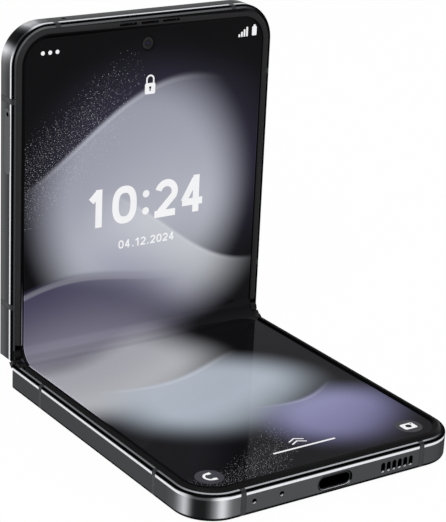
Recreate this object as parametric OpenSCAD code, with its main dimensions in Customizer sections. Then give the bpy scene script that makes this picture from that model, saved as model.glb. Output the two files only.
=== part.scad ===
// Clamshell folding phone, standing half open on its lower half.
// Every piece is drawn in flat coordinates: phone opened out flat, fold line along X at y = 0,
// lower half towards -Y, upper half towards +Y, back faces on z = 0, screen facing +Z.
// in_lower(), in_spine() and in_upper() then carry the pieces to the half-open pose.
// The origin of the finished part is the middle of the lower half's back face.

/* [Pose] */
// Angle between the two screen halves as drawn
open_angle = 90; // [70:1:130]

/* [Body] */
// Width of the body
body_w = 71.9; // [68:0.1:78]
// Length of one half from the fold line to its free end
half_l = 82.55; // [78:0.05:90]
// Radius of the outer corners seen from the front
corner_r = 9.3; // [7:0.1:11]
// Height of the screen surface above the back face
screen_z = 6.7; // [6.6:0.05:7.2]
// How far the metal rim's top lies below the screen surface
rim_drop = 0.25; // [0.1:0.05:0.35]
// Radius of the rim's long outer edges
edge_r = 0.9; // [0.4:0.05:1]
// Thickness of the metal side walls
wall_t = 1.9; // [1.7:0.1:2.2]
// Gap from a frame's end face to the fold line
end_gap = 0.85; // [0.7:0.01:1]
// Thickness of the back glass
glass_t = 0.6; // [0.5:0.05:0.7]
// Thickness of the middle plate that carries the screen
mid_t = 0.6; // [0.4:0.05:0.8]
// Gap between pieces that are glued or dropped into place
fit_gap = 0.05; // [0.02:0.01:0.08]
// Gap between pieces that move past each other
run_gap = 0.1; // [0.08:0.01:0.15]

/* [Screen] */
// Thickness of the screen laminate
screen_t = 0.6; // [0.5:0.05:0.7]
// Thickness of the metal plate under the screen
backing_t = 0.3; // [0.2:0.05:0.35]
// Thickness of the screen where it bends
fold_t = 0.4; // [0.3:0.05:0.5]
// Distance from the fold line at which the rigid screen and the bezel start
bend_start = 4.9; // [4.7:0.1:5.4]
// Half width of the bending strip
bend_half_w = 33.4; // [32.8:0.1:33.5]
// Height of the bezel above the screen
bezel_rise = 0.55; // [0.45:0.05:0.65]
// Distance from the side face to the bezel's outer foot
bezel_out = 0.98; // [0.96:0.01:1.1]
// Distance from the side face to the bezel's inner edge
bezel_in = 3.15; // [3:0.05:3.6]
// Width of the slope from the bezel's top down to the screen
bezel_slope = 0.75; // [0.5:0.05:0.9]
// Radius of the bezel's rounded crown
crown_r = 0.4; // [0.3:0.05:0.42]

/* [Hinge] */
// Half the distance between the two hinge axes
axis_half = 1.9; // [1.8:0.05:2]
// Thickness of the back skin that the spine turns over
lip_t = 0.8; // [0.75:0.05:0.9]
// Gap between the spine cover and the halves
spine_clear = 0.15; // [0.12:0.01:0.2]
// Wall of the spine cover
spine_wall = 0.45; // [0.4:0.01:0.46]
// Distance from the side faces to the ends of the spine
spine_inset = 2.3; // [2.2:0.05:2.5]
// Gap between the screens' bezels when the phone is shut
shut_gap = 0.1; // [0.05:0.01:0.15]
// Height of the spine's upper edge below the hinge axes
spine_drop = 0.5; // [0.45:0.05:0.7]
// Play left between mating teeth
tooth_play = 0.05; // [0.04:0.005:0.06]
// Radius of the timing gears' shafts
gear_shaft_r = 0.3; // [0.25:0.01:0.35]
// Radial running clearance of shafts and rails
bearing_gap = 0.04; // [0.02:0.005:0.06]
// Gap between the timing gears' tips and the spine cover
gear_floor = 0.1; // [0.08:0.01:0.2]
// Thickness of the arc rails
rail_t = 0.9; // [0.7:0.05:1]
// Wall of the bracket outside the arc rails
rail_wall = 0.4; // [0.3:0.05:0.5]
// Distance from the side faces to the middle of a hinge bracket
bracket_side = 12.45; // [11:0.05:20]
// Radius of the link caps about each axis
cap_r = 1.75; // [1.5:0.05:1.8]
// Thickness of the frame's wall outside the link caps
cap_cover = 0.5; // [0.4:0.05:0.9]

/* [Antenna bands] */
// Width of an antenna band
band_w = 1.4; // [1:0.1:1.8]
// Depth of an antenna band in the wall
band_depth = 1.2; // [0.8:0.05:1.4]
// Distance of the side bands from the fold line
band_near_fold = 14.6; // [13:0.1:17]
// Distance of the side bands from the free end
band_near_end = 17.4; // [14:0.1:20]
// Distance of the end bands from the middle
band_end_x = 24.25; // [22:0.05:25]

/* [Lower end] */
// Width of the charging port's opening
usb_w = 8.34; // [8:0.02:8.6]
// Height of the charging port's opening
usb_h = 2.56; // [2.4:0.02:2.7]
// Wall of the charging port's shell
usb_wall = 0.3; // [0.2:0.02:0.35]
// Depth of the charging port
usb_depth = 7.35; // [6.5:0.05:8]
// Height of the port's and the speaker slots' middle above the back
port_z = 2.8; // [2.75:0.05:2.9]
// Height of the microphone holes above the back
mic_z = 3.2; // [2.9:0.05:3.4]
// Radius of the microphone holes
mic_r = 0.6; // [0.4:0.05:0.65]
// Number of speaker slots
slot_count = 6; // [4:1:7]
// Distance between speaker slots
slot_pitch = 1.57; // [1.4:0.01:1.65]
// Width of a speaker slot
slot_w = 1.15; // [0.8:0.05:1.25]
// Height of a speaker slot
slot_h = 2.4; // [2:0.05:2.6]
// Sideways place of the speaker slots' middle
slot_x = 17.25; // [16:0.05:18]

/* [Upper half] */
// Length of the card tray's face
tray_l = 16; // [15.4:0.1:17]
// Height of the card tray's face
tray_h = 3; // [2.6:0.05:3]
// Distance from the free end to the tray's middle
tray_end = 27.35; // [25.6:0.05:28.5]
// Depth that the card tray reaches in
tray_depth = 20; // [18:0.5:22]
// Length of the volume key
volume_l = 16.5; // [14:0.1:18]
// Distance from the free end to the volume key's middle
volume_end = 28.55; // [27.55:0.05:30.5]
// Length of the side key
side_key_l = 15.5; // [13:0.1:16]
// Distance from the free end to the side key's middle
side_key_end = 50.05; // [49.05:0.05:51.05]
// Height of a key across the side wall
key_h = 2.6; // [2.2:0.05:2.8]
// How far the volume key stands out
volume_proud = 0.45; // [0.35:0.05:0.55]
// How far the side key stands out
side_key_proud = 0.3; // [0.28:0.02:0.4]
// Travel of the keys
key_travel = 0.25; // [0.15:0.05:0.25]
// Radius of the front camera's hole in the screen
punch_r = 1.6; // [1.4:0.05:1.9]
// Distance from the free end to the front camera's middle
punch_y = 6.97; // [6.8:0.01:7.2]
// Length of one earpiece slot
ear_slot_l = 4.9; // [4:0.05:5.1]
// Distance between earpiece slots
ear_pitch = 5.93; // [5.8:0.01:6.2]
// Width of the earpiece slots
ear_slot_w = 0.6; // [0.4:0.05:0.7]
// Outer radius of a rear camera ring
ring_r = 7; // [6.4:0.05:7.3]
// Wall of a rear camera ring
ring_wall = 1.5; // [1.2:0.05:1.7]
// How far a rear camera ring stands out of the glass
ring_proud = 1.3; // [0.9:0.05:1.5]
// Distance from the camera side's face to the first lens
lens_side = 11.8; // [11.5:0.1:12.5]
// Distance from the free end to the lenses
lens_end = 11.8; // [11.5:0.1:12.5]
// Distance between the two rear lenses
lens_pitch = 16; // [15.8:0.1:16.8]
// Distance from the second lens to the flash
flash_pitch = 11; // [10:0.1:12]

/* [Hidden] */
$fn = 64;

// Overlap that joins the parts of one piece
weld = 0.2;
half_w = body_w/2;
frame_h = screen_z - rim_drop;
screen_inset = wall_t + fit_gap;
// Fold of each half against the spine
side_fold = (180 - open_angle)/2;
screen_gap = 2*bezel_rise + shut_gap;
axis_z = screen_z + screen_gap/2 - axis_half;
bezel_top = screen_z + bezel_rise;
backing_z = screen_z - screen_t - backing_t;
mid_z = backing_z - mid_t;
ledge_z = frame_h - 0.2;
// The pocket that the spine turns in, and the spine's own size
pocket_r = axis_z - lip_t;
spine_r = pocket_r - spine_clear;
spine_in_r = spine_r - spine_wall;
bracket_r = spine_in_r - fit_gap;
spine_half_w = half_w - spine_inset;
bracket_x = half_w - bracket_side;
pocket_half_w = spine_half_w + run_gap;
pocket_y = axis_half + pocket_r;
shelf_y = 12;
// The hinge arms' plates lie on the shelf, a little below the screen's backing
arm_top = backing_z - fit_gap;
arm_plate_t = 0.5;
arm_plate_z = arm_top - arm_plate_t;
// Teeth that a full turn of a hinge arm's sector would have, and teeth of a timing gear
sector_teeth = 24;
gear_teeth = 8;
// Heights of a tooth above and below the pitch circle, in modules
tip_modules = 0.8;
root_modules = 1.05;
// The tips of the outer gears reach down to the spine cover's inner face
tooth_module = (spine_in_r - gear_floor)/(sector_teeth/2 + gear_teeth + tip_modules);
gear_r = tooth_module*gear_teeth/2;
sector_r = tooth_module*sector_teeth/2;
addendum = tip_modules*tooth_module;
dedendum = root_modules*tooth_module;
outer_gear_y = 3*gear_r;
gear_drop = sqrt(pow(sector_r + gear_r, 2) - pow(outer_gear_y - axis_half, 2));
mesh_angle = atan2(-gear_drop, axis_half - outer_gear_y);
// Widths along X of the zones of one hinge bracket
cheek_t = 0.8;
rail_w = 2.4;
sector_w = 1.5;
train_w = 1.3;
pocket_w = 2*sector_w + train_w;
rail_zone = pocket_w/2 + cheek_t + rail_w/2;
bracket_w = 2*rail_zone + rail_w + 2*cheek_t;
rail_out = bracket_r - rail_wall;
rail_in = rail_out - rail_t;
trough_half_w = 2;
trough_depth = 1.95;
// The link caps lie between the spine's ends and the frame's outer wall
cap_t = spine_inset - cap_cover - run_gap;
// Radius that the frames' end corners sweep about the hinge axes
corner_sweep = norm([axis_half - end_gap, frame_h - axis_z]);
// Places inside the upper half
punch_from_fold = half_l - punch_y;
lens_from_fold = half_l - lens_end;
lens_x = [half_w - lens_side, half_w - lens_side - lens_pitch];
flash_x = lens_x[1] - flash_pitch;
flash_r = 2.2;
tray_y = half_l - tray_end;
volume_y = half_l - volume_end;
side_key_y = half_l - side_key_end;
board_l = 38.5;
board_start = half_l - board_l;
board_gap = 1.1;
board_half_w = half_w - wall_t - board_gap;
cell_inset = 9;
cell_half_w = half_w - cell_inset;
tray_z = 3.7;
tray_t = 1.3;
key_z = (frame_h - 2*edge_r)/2 + edge_r;
board_z = glass_t + 0.5;
board_t = 0.8;
METAL = "#55575a";
BAND = "#46484b";
BLACK = "#151517";
GLASS = "#101014";
BOARD = "#1d4030";
STEEL = "#9a9da1";
COPPER = "#b3703c";
CELL = "#303236";

// Poses of the three folding bodies

module in_lower() {
    translate([0, half_l/2, 0]) children();
}

module about_axis(side, angle) {
    translate([0, side*axis_half, axis_z])
        rotate([angle, 0, 0])
            translate([0, -side*axis_half, -axis_z])
                children();
}

module in_spine() {
    in_lower() about_axis(-1, side_fold) children();
}

module in_upper() {
    in_spine() about_axis(1, side_fold) children();
}

module flip_y() {
    mirror([0, 1, 0]) children();
}

module both_sides() {
    for (side = [0, 1]) mirror([side, 0, 0]) children();
}

// Shapes shared by several pieces

function polar(centre, r, angle) = [centre[0] + r*cos(angle), centre[1] + r*sin(angle)];

// Outline of one half seen from the front, drawn in from the side faces by inset
module half_outline(inset, fold_edge) {
    r = corner_r - inset;
    w = half_w - inset;
    far = half_l - inset;
    translate([-w, r - far]) square([2*w, far - r - fold_edge]);
    translate([r - w, -far]) square([2*(w - r), r + weld]);
    for (side = [-1, 1]) translate([side*(w - r), r - far]) circle(r);
}

module half_plate(inset, fold_edge, z, t) {
    translate([0, 0, z]) linear_extrude(t) half_outline(inset, fold_edge);
}

// Sweeps a section round the three closed sides of a half.
// The section's x is the distance in from the outer face and its y is the height.
module along_rim(fold_edge) {
    both_sides() {
        translate([-half_w, -fold_edge, 0])
            rotate([90, 0, 0])
                linear_extrude(half_l - corner_r - fold_edge) children();
        translate([corner_r - half_w, corner_r - half_l, 0])
            rotate([0, 0, 180])
                rotate_extrude(angle = 90)
                    translate([corner_r, 0]) mirror([1, 0]) children();
    }
    translate([corner_r - half_w, -half_l, 0])
        rotate([90, 0, 90])
            linear_extrude(body_w - 2*corner_r) children();
}

// A section drawn in (y, z), extruded along X about the middle x
module along_x(x, w) {
    translate([x - w/2, 0, 0]) rotate([90, 0, 90]) linear_extrude(w) children();
}

// A stadium of length l along X and height h, extruded along Y
module slot_through_y(x, z, l, h, y0, depth) {
    translate([x, y0, z])
        rotate([-90, 0, 0])
            linear_extrude(depth) stadium(l, h);
}

// A stadium of length l along Y and height h, extruded along X
module slot_through_x(y, z, l, h, x0, depth) {
    translate([x0, y, z])
        rotate([90, 0, 90])
            linear_extrude(depth) stadium(l, h);
}

module stadium(l, h) {
    r = h/2;
    if (l > h) translate([r - l/2, -r]) square([l - h, h]);
    for (side = [-1, 1]) translate([side*(l/2 - r), 0]) circle(r);
}

module rounded_box(size, r) {
    linear_extrude(size[2]) rounded_square([size[0], size[1]], r);
}

module rounded_square(size, r) {
    translate([r, 0]) square([size[0] - 2*r, size[1]]);
    translate([0, r]) square([size[0], size[1] - 2*r]);
    for (x = [r, size[0] - r], y = [r, size[1] - r]) translate([x, y]) circle(r);
}

module box_between(low, high) {
    translate(low) cube(high - low);
}

// The metal frame of one half

module rim_corner_cut(z, up) {
    translate([0, z]) mirror([0, up]) difference() {
        translate([-weld, -weld]) square(edge_r + weld);
        translate([edge_r, edge_r]) circle(edge_r);
    }
}

module rim_section(depth) {
    difference() {
        square([depth, frame_h]);
        rim_corner_cut(0, 0);
        rim_corner_cut(frame_h, 1);
    }
}

module frame_section() {
    difference() {
        rim_section(wall_t);
        translate([bezel_out - fit_gap, ledge_z]) square([wall_t, frame_h]);
        translate([edge_r + fit_gap, -weld]) square([wall_t, glass_t + fit_gap + weld]);
    }
}

// Space that the turning spine needs in the lower half
module spine_pocket() {
    along_x(0, 2*pocket_half_w) {
        translate([-axis_half, axis_z]) circle(pocket_r);
        translate([-axis_half, lip_t]) square([2*axis_half, 2*frame_h]);
        translate([-pocket_y, axis_z]) square([pocket_y, frame_h]);
    }
}

// Round pocket for a link cap, open at the top
module cap_pocket() {
    both_sides()
        along_x(spine_half_w + cap_t/2, cap_t + 2*run_gap)
            translate([-axis_half, axis_z]) circle(cap_r + run_gap);
}

module arm_recess() {
    for (side = [-1, 1])
        box_between(
            [side*bracket_x - bracket_w/2 - fit_gap, -shelf_y - weld, arm_plate_z - fit_gap],
            [side*bracket_x + bracket_w/2 + fit_gap, 0, frame_h]
        );
}

module arm_screw_places(y) {
    for (side = [-1, 1], step = [-1, 1])
        translate([side*bracket_x + step*arm_screw_step, -y, 0]) children();
}

module half_frame() {
    difference() {
        union() {
            along_rim(end_gap) frame_section();
            half_plate(wall_t - weld, end_gap, mid_z, mid_t);
            // Shelf behind the spine, which carries the hinge arms
            box_between([-half_w + wall_t - weld, -shelf_y, glass_t + fit_gap],
                        [half_w - wall_t + weld, -end_gap, backing_z]);
            // Thick side walls beside the spine
            both_sides()
                box_between([pocket_half_w, -bend_start, glass_t + fit_gap],
                            [half_w - wall_t + weld, -end_gap, ledge_z]);
            // Metal border of the back beside the fold
            box_between([-half_w + edge_r, -fold_border, 0],
                        [half_w - edge_r, -end_gap, lip_t]);
        }
        spine_pocket();
        cap_pocket();
        arm_recess();
        arm_screw_places(arm_screw_y)
            translate([0, 0, arm_top - screw_l - run_gap]) cylinder(r = screw_r, h = screen_z);
        for (side = [-1, 1], y = [-band_near_fold, band_near_end - half_l])
            translate([side*half_w, y, frame_h/2])
                cube([2*band_depth, band_w, 2*frame_h], center = true);
        for (side = [-1, 1])
            translate([side*band_end_x, -half_l, frame_h/2])
                cube([band_w, 2*band_depth, 2*frame_h], center = true);
    }
}

// Width of the metal strip of the back along the fold
fold_border = 1.5;
screw_r = 0.45;
screw_head_r = 0.75;
screw_head_t = 0.3;
screw_l = 2.4;
arm_screw_y = 9.6;
arm_screw_step = 3.4;

module antenna_bands() {
    intersection() {
        along_rim(end_gap) intersection() {
            frame_section();
            square([band_depth - fit_gap, frame_h]);
        }
        union() {
            for (side = [-1, 1], y = [-band_near_fold, band_near_end - half_l])
                translate([side*half_w, y, frame_h/2])
                    cube([3*band_depth, band_w - 2*fit_gap, 2*frame_h], center = true);
            for (side = [-1, 1])
                translate([side*band_end_x, -half_l, frame_h/2])
                    cube([band_w - 2*fit_gap, 3*band_depth, 2*frame_h], center = true);
        }
    }
}

// The raised plastic bezel glued over the screen's border, with an upright foot and a slope outside
bezel_foot = 0.15;
outer_slope = 0.9;

module bezel_section() {
    outer = [bezel_out + outer_slope, bezel_top - crown_r];
    inner = [bezel_in - bezel_slope, bezel_top - crown_r];
    intersection() {
        for (centre = [outer, inner]) translate(centre) circle(crown_r);
        translate([0, screen_z]) square(2*bezel_in);
    }
    polygon([
        [bezel_out, ledge_z],
        [bezel_out, ledge_z + bezel_foot],
        polar(outer, crown_r, 135),
        polar(outer, crown_r, 90),
        polar(inner, crown_r, 90),
        polar(inner, crown_r, 45),
        [bezel_in, screen_z],
        [screen_inset - fit_gap, screen_z],
        [screen_inset - fit_gap, ledge_z]
    ]);
}

module half_bezel() {
    along_rim(bend_start) bezel_section();
}

module half_screen() {
    half_plate(screen_inset, bend_start, screen_z - screen_t, screen_t);
}

module half_screen_backing() {
    difference() {
        half_plate(screen_inset, bend_start, backing_z, backing_t);
        // The backing stops where the side walls are thick
        both_sides()
            box_between([pocket_half_w - run_gap, -bend_start - weld, 0], [half_w, 0, screen_z]);
    }
}

module back_glass() {
    half_plate(edge_r + 2*fit_gap, fold_border + fit_gap, 0, glass_t);
}

magnet_w = 4.5;
magnet_l = 8;
magnet_t = 1.2;

module magnets() {
    both_sides()
        translate([half_w - wall_t - 1 - magnet_w, -shelf_y - 2 - magnet_l, mid_z - fit_gap - magnet_t])
            cube([magnet_w, magnet_l, magnet_t]);
}

// Hinge arms, gears and brackets

function involute(r, base) = r > base ? sqrt(pow(r/base, 2) - 1)*180/PI - acos(base/r) : 0;

// Half the angle that a tooth takes up at radius r
function tooth_half_angle(r, teeth, pitch_r) =
    let (base = pitch_r*cos(20))
    90/teeth - tooth_play/2/pitch_r*90/PI + involute(pitch_r, base) - involute(r, base);

function tooth_radii(pitch_r) = [
    pitch_r - dedendum, pitch_r - dedendum/3, pitch_r + addendum/3, pitch_r + addendum
];

// Outline points of the teeth numbered first to last, tooth 0 centred on angle phase
function tooth_points(teeth, pitch_r, phase, first, last) = [
    for (i = [first:last], flank = [-1, 1], k = [0:3])
        let (
            r = tooth_radii(pitch_r)[flank < 0 ? k : 3 - k],
            angle = phase + i*360/teeth + flank*tooth_half_angle(r, teeth, pitch_r)
        )
        [r*cos(angle), r*sin(angle)]
];

module gear_outline(teeth, phase) {
    polygon(tooth_points(teeth, gear_r, phase, 0, teeth - 1));
}

// Tooth phases along the train, worked out from one mesh to the next
gear_step = 360/gear_teeth;
sector_step = 360/sector_teeth;
phase_1 = mesh_angle + 180 + gear_step/2;
phase_2 = 180 - phase_1 + gear_step/2;
phase_3 = 180 - phase_2 + gear_step/2;
phase_4 = 180 - phase_3 + gear_step/2;
upper_mesh_angle = 180 - mesh_angle;
upper_sector_phase = upper_mesh_angle - (phase_4 - upper_mesh_angle - 180)*gear_teeth/sector_teeth
    + sector_step/2;
sector_span = 7;

// The phase of a sector's teeth that lies nearest an angle
function nearest_phase(phase, angle) = phase + sector_step*round((angle - phase)/sector_step);

// Toothed sector about the origin, with its solid hub
module sector_outline(phase, start, end, first, last) {
    polygon(concat([[0, 0]], tooth_points(sector_teeth, sector_r, phase, first, last)));
    intersection() {
        circle(sector_r - dedendum);
        polygon([[0, 0], polar([0, 0], 4, start), polar([0, 0], 5, (start + end)/2),
                 polar([0, 0], 4, end)]);
    }
}

module ring_sector(r_in, r_out, start, end) {
    middle = (start + end)/2;
    intersection() {
        difference() {
            circle(r_out);
            circle(r_in);
        }
        polygon([[0, 0], polar([0, 0], 2*r_out, start), polar([0, 0], 3*r_out, middle),
                 polar([0, 0], 2*r_out, end)]);
    }
}

rail_start = 177;
rail_end = 300;
neck_top = arm_top - axis_z;
neck_bottom = 0.1 - spine_drop;

// Flat neck that passes over the spine's edge to the arm's plate, ending at distance r
// from the hinge axis
module neck(r) {
    translate([axis_half - pocket_y - weld, arm_plate_z - axis_z])
        square([pocket_y + weld - axis_half - r, neck_top - arm_plate_z + axis_z]);
    translate([axis_half - pocket_y + run_gap, neck_bottom])
        square([pocket_y - run_gap - axis_half - r, neck_top - neck_bottom]);
}

// Arm of the lower half: side is the direction from the bracket's middle to its own rail
module hinge_arm(x, side, phase, first, last) {
    along_x(x + side*(pocket_w/2 - sector_w/2), sector_w - 2*run_gap)
        translate([-axis_half, axis_z]) {
            sector_outline(phase, 180, 355, first, last);
            neck(0);
        }
    along_x(x + side*rail_zone, rail_w - 2*run_gap)
        translate([-axis_half, axis_z]) {
            ring_sector(rail_in, rail_out, rail_start, rail_end);
            neck(rail_in);
        }
    difference() {
        box_between([x - bracket_w/2, -shelf_y, arm_plate_z], [x + bracket_w/2, -pocket_y, arm_top]);
        for (step = [-1, 1])
            translate([x + step*arm_screw_step, -arm_screw_y, arm_plate_z - weld]) {
                cylinder(r = screw_r, h = screen_z);
                translate([0, 0, weld + arm_plate_t - screw_head_t])
                    cylinder(r = screw_head_r + fit_gap, h = screen_z);
            }
    }
}

module arm_screws() {
    arm_screw_places(arm_screw_y) {
        translate([0, 0, arm_top - screw_l]) cylinder(r = screw_r - fit_gap, h = screw_l - weld/2);
        translate([0, 0, arm_top - screw_head_t]) screw_head();
    }
}

module screw_head() {
    difference() {
        cylinder(r = screw_head_r, h = screw_head_t);
        translate([0, 0, screw_head_t/2]) linear_extrude(screw_head_t)
            for (turn = [0, 90]) rotate(turn) square([screw_head_r, 0.2], center = true);
    }
}

module spine_section(r) {
    for (side = [-1, 1]) translate([side*axis_half, axis_z]) circle(r);
    translate([-axis_half, axis_z - r]) square([2*axis_half, r]);
}

module below_spine_edge(drop) {
    reach = 2*pocket_y;
    translate([-reach, axis_z - drop - reach]) square([2*reach, reach]);
}

module gear_at(number) {
    y = [-outer_gear_y, -gear_r, gear_r, outer_gear_y][number - 1];
    translate([0, y, axis_z - gear_drop]) children();
}

module timing_gear(number, phase, zone_from, zone_to) {
    turn = side_fold*sector_teeth/gear_teeth*(number % 2 == 1 ? 1 : -1);
    for (side = [-1, 1])
        gear_at(number) rotate([turn, 0, 0]) {
            along_x(side*(bracket_x + (zone_from + zone_to)/2), zone_to - zone_from - run_gap)
                gear_outline(gear_teeth, phase);
            along_x(side*bracket_x, pocket_w + 2*cheek_t - 2*run_gap) circle(gear_shaft_r);
        }
}

module bracket_block() {
    difference() {
        along_x(0, bracket_w) intersection() {
            spine_section(bracket_r);
            below_spine_edge(spine_drop);
        }
        // Pocket for the two sectors and the gear train
        along_x(0, pocket_w) {
            for (side = [-1, 1])
                translate([side*axis_half, axis_z]) circle(sector_r + addendum + run_gap);
            translate([-outer_gear_y - gear_r - addendum - run_gap, axis_z - spine_r - weld])
                square([2*(outer_gear_y + gear_r + addendum + run_gap), spine_r]);
            translate([-axis_half, axis_z - spine_r]) square([2*axis_half, spine_r]);
        }
        // Arc slots for the rails
        for (side = [-1, 1])
            along_x(side*rail_zone, rail_w)
                translate([side*axis_half, axis_z]) mirror([side > 0 ? 1 : 0, 0])
                    ring_sector(rail_in - bearing_gap, rail_out + bearing_gap, 150, rail_end + 3);
        // Trough that the bending screen drops into when the phone is shut
        along_x(0, 2*bracket_w)
            translate([-trough_half_w, axis_z - trough_depth])
                square([2*trough_half_w, spine_r]);
        for (number = [1:4])
            gear_at(number)
                along_x(0, pocket_w + 2*cheek_t) circle(gear_shaft_r + bearing_gap);
    }
    // Ears that the bracket is screwed down by
    difference() {
        along_x(0, bracket_w + 2*ear_l) intersection() {
            spine_section(bracket_r);
            below_spine_edge(spine_r - spine_wall - ear_t);
            translate([-ear_half_w, 0]) square([2*ear_half_w, axis_z]);
        }
        cube([bracket_w - 2*cheek_t, 4*ear_half_w, 2*screen_z], center = true);
        ear_screw_places() cylinder(r = screw_r + fit_gap, h = axis_z);
    }
}

ear_l = 2.4;
ear_t = 0.9;
ear_half_w = 1.8;

module ear_screw_places() {
    for (side = [-1, 1]) translate([side*(bracket_w + ear_l)/2, 0, 0]) children();
}

// Keys, tray and other small pieces of the upper half

key_wall = 0.7;
flange_t = 0.5;

// A key cap with its inner flange, standing out by proud
module key_piece(y, l, proud) {
    slot_through_x(y, key_z, l, key_h, half_w - wall_t - weld, wall_t + weld + proud);
    slot_through_x(y, key_z, l + 2*key_wall, key_h + key_wall,
                   half_w - wall_t - key_travel - flange_t, flange_t + key_travel - run_gap);
}

module key_hole(y, l) {
    slot_through_x(y, key_z, l + 2*run_gap, key_h + 2*run_gap, half_w - wall_t - weld, 2*wall_t);
}

// Pieces of the lower half

module lower_frame() {
    color(METAL) in_lower() difference() {
        half_frame();
        slot_through_y(0, port_z, usb_w + 2*usb_wall + 2*fit_gap, usb_h + 2*usb_wall + 2*fit_gap,
                       -half_l - weld, wall_t + 2*weld);
        // Step round the port's mouth
        slot_through_y(0, port_z, usb_w + 2*usb_wall + 2*port_step, usb_h + 2*usb_wall + 2*port_step,
                       -half_l - weld, weld + port_sunk/2);
        for (i = [0:slot_count - 1])
            translate([slot_x + (i - (slot_count - 1)/2)*slot_pitch, 0, port_z])
                rotate([0, 90, 0])
                    slot_through_y(0, 0, slot_h, slot_w, -half_l - weld, wall_t + 2*weld);
        for (x = mic_x)
            translate([x, -half_l - weld, mic_z])
                rotate([-90, 0, 0]) cylinder(r = mic_r, h = wall_t + 2*weld);
    }
}

mic_x = [-21.45, -14.3];

module lower_antenna_bands() {
    color(BAND) in_lower() antenna_bands();
}

module lower_bezel() {
    color(BLACK) in_lower() half_bezel();
}

module lower_display() {
    color(GLASS) in_lower() half_screen();
}

module lower_display_plate() {
    color(STEEL) in_lower() half_screen_backing();
}

module lower_back_glass() {
    color(GLASS) in_lower() back_glass();
}

coil_t = 0.25;
cell_start = shelf_y + 1;
// Room for the lower board and the speaker between the cell and the free end
lower_cell_room = 18.5;
lower_cell_end = half_l - lower_cell_room;
// Distance from the board to the cell behind it
cell_gap = 1;

module lower_battery() {
    color(CELL) in_lower()
        translate([-cell_half_w, -lower_cell_end, glass_t + coil_t + 2*fit_gap])
            rounded_box([2*cell_half_w, lower_cell_end - cell_start,
                         mid_z - glass_t - coil_t - 3*fit_gap], 2);
}

module charging_coil() {
    color(COPPER) in_lower()
        translate([0, -(lower_cell_end + cell_start)/2, glass_t + fit_gap])
            difference() {
                cylinder(r = coil_r, h = coil_t);
                translate([0, 0, -weld]) cylinder(r = coil_r/2, h = coil_t + 2*weld);
            }
}

coil_r = 20;
sub_board_t = 0.7;
sub_board_l = 15.5;
sub_board_side = 5;
sub_board_z = mid_z - fit_gap - sub_board_t;

// Room inside the side walls of a half
module inside_walls() {
    intersection() {
        children();
        half_plate(wall_t + 2*fit_gap, end_gap, 0, frame_h);
    }
}

module sub_board() {
    color(BOARD) in_lower() inside_walls()
        translate([sub_board_side - half_w, -half_l, sub_board_z])
            cube([body_w - 2*sub_board_side, sub_board_l, sub_board_t]);
}

module usb_outline(gap) {
    stadium(usb_w + 2*gap, usb_h + 2*gap);
}

// Step round the port's mouth, and how far the shell lies behind the frame's face
port_step = 0.25;
port_sunk = 0.3;
port_mouth = port_sunk - half_l;

module usb_shell() {
    color(STEEL) in_lower()
        translate([0, port_mouth, port_z]) rotate([-90, 0, 0])
            difference() {
                linear_extrude(usb_depth) usb_outline(usb_wall);
                translate([0, 0, -weld])
                    linear_extrude(usb_depth - usb_wall + weld) usb_outline(0);
            }
}

tongue_w = 6.69;
tongue_l = 4.45;
tongue_t = 0.7;

module usb_tongue() {
    color(BLACK) in_lower()
        translate([-tongue_w/2, port_mouth + usb_depth - usb_wall - tongue_l, port_z - tongue_t/2])
            cube([tongue_w, tongue_l, tongue_t]);
}

// The speaker lies behind its slots, with more of it towards the side
speaker_w = 22.5;
speaker_l = 16.5;
speaker_x = slot_x - 8.75;

module speaker_module() {
    color(BLACK) in_lower() inside_walls()
        translate([speaker_x, -half_l, glass_t + 2*fit_gap])
            rounded_box([speaker_w, speaker_l, sub_board_z - glass_t - 3*fit_gap], 1.2);
}

mic_size = [3.5, 2.6];

module lower_microphones() {
    color(STEEL) in_lower()
        for (x = mic_x)
            translate([x - mic_size[0]/2, -half_l + wall_t + 2*fit_gap, mic_z - 1])
                rounded_box([mic_size[0], mic_size[1], sub_board_z - fit_gap - mic_z + 1], 0.3);
}

module lower_magnets() {
    color(STEEL) in_lower() magnets();
}

module lower_hinge_arms() {
    color(STEEL) in_lower()
        both_sides() hinge_arm(bracket_x, -1, mesh_angle, 0, sector_span);
}

module lower_hinge_screws() {
    color(STEEL) in_lower() arm_screws();
}

// Pieces of the spine

module hinge_cover() {
    color(METAL) in_spine() difference() {
        along_x(0, 2*spine_half_w) intersection() {
            spine_section(spine_r);
            below_spine_edge(spine_drop);
        }
        along_x(0, 2*(spine_half_w - spine_wall)) spine_section(spine_in_r);
        // Blind threads for the brackets' screws
        for (side = [-1, 1])
            translate([side*bracket_x, 0, axis_z - spine_in_r - thread_depth])
                ear_screw_places() cylinder(r = screw_r, h = axis_z);
    }
}

thread_depth = 0.2;

// Lower and upper edge of the links' middle, from the hinge axes
cap_neck = [-1.4, 0.6];
outer_neck_t = cap_cover + run_gap + weld - fit_gap;

// Black link at each end of the spine: a plate with a disc about each axis, and a waisted
// outer piece that fills the gap between the frames' ends
module hinge_end_caps() {
    color(BLACK) in_spine() both_sides() {
        along_x(spine_half_w + (cap_t + fit_gap)/2, cap_t - fit_gap) {
            for (side = [-1, 1]) translate([side*axis_half, axis_z]) circle(cap_r);
            translate([-axis_half, axis_z + cap_neck[0]])
                square([2*axis_half, cap_neck[1] - cap_neck[0]]);
        }
        along_x(half_w - fit_gap - outer_neck_t/2, outer_neck_t)
            difference() {
                translate([run_gap - end_gap, axis_z + cap_neck[0]])
                    square([2*(end_gap - run_gap), cap_neck[1] - cap_neck[0]]);
                for (side = [-1, 1])
                    translate([side*axis_half, axis_z]) circle(corner_sweep + run_gap);
            }
    }
}

module hinge_brackets() {
    color(STEEL) in_spine()
        both_sides() translate([bracket_x, 0, 0]) bracket_block();
}

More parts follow.
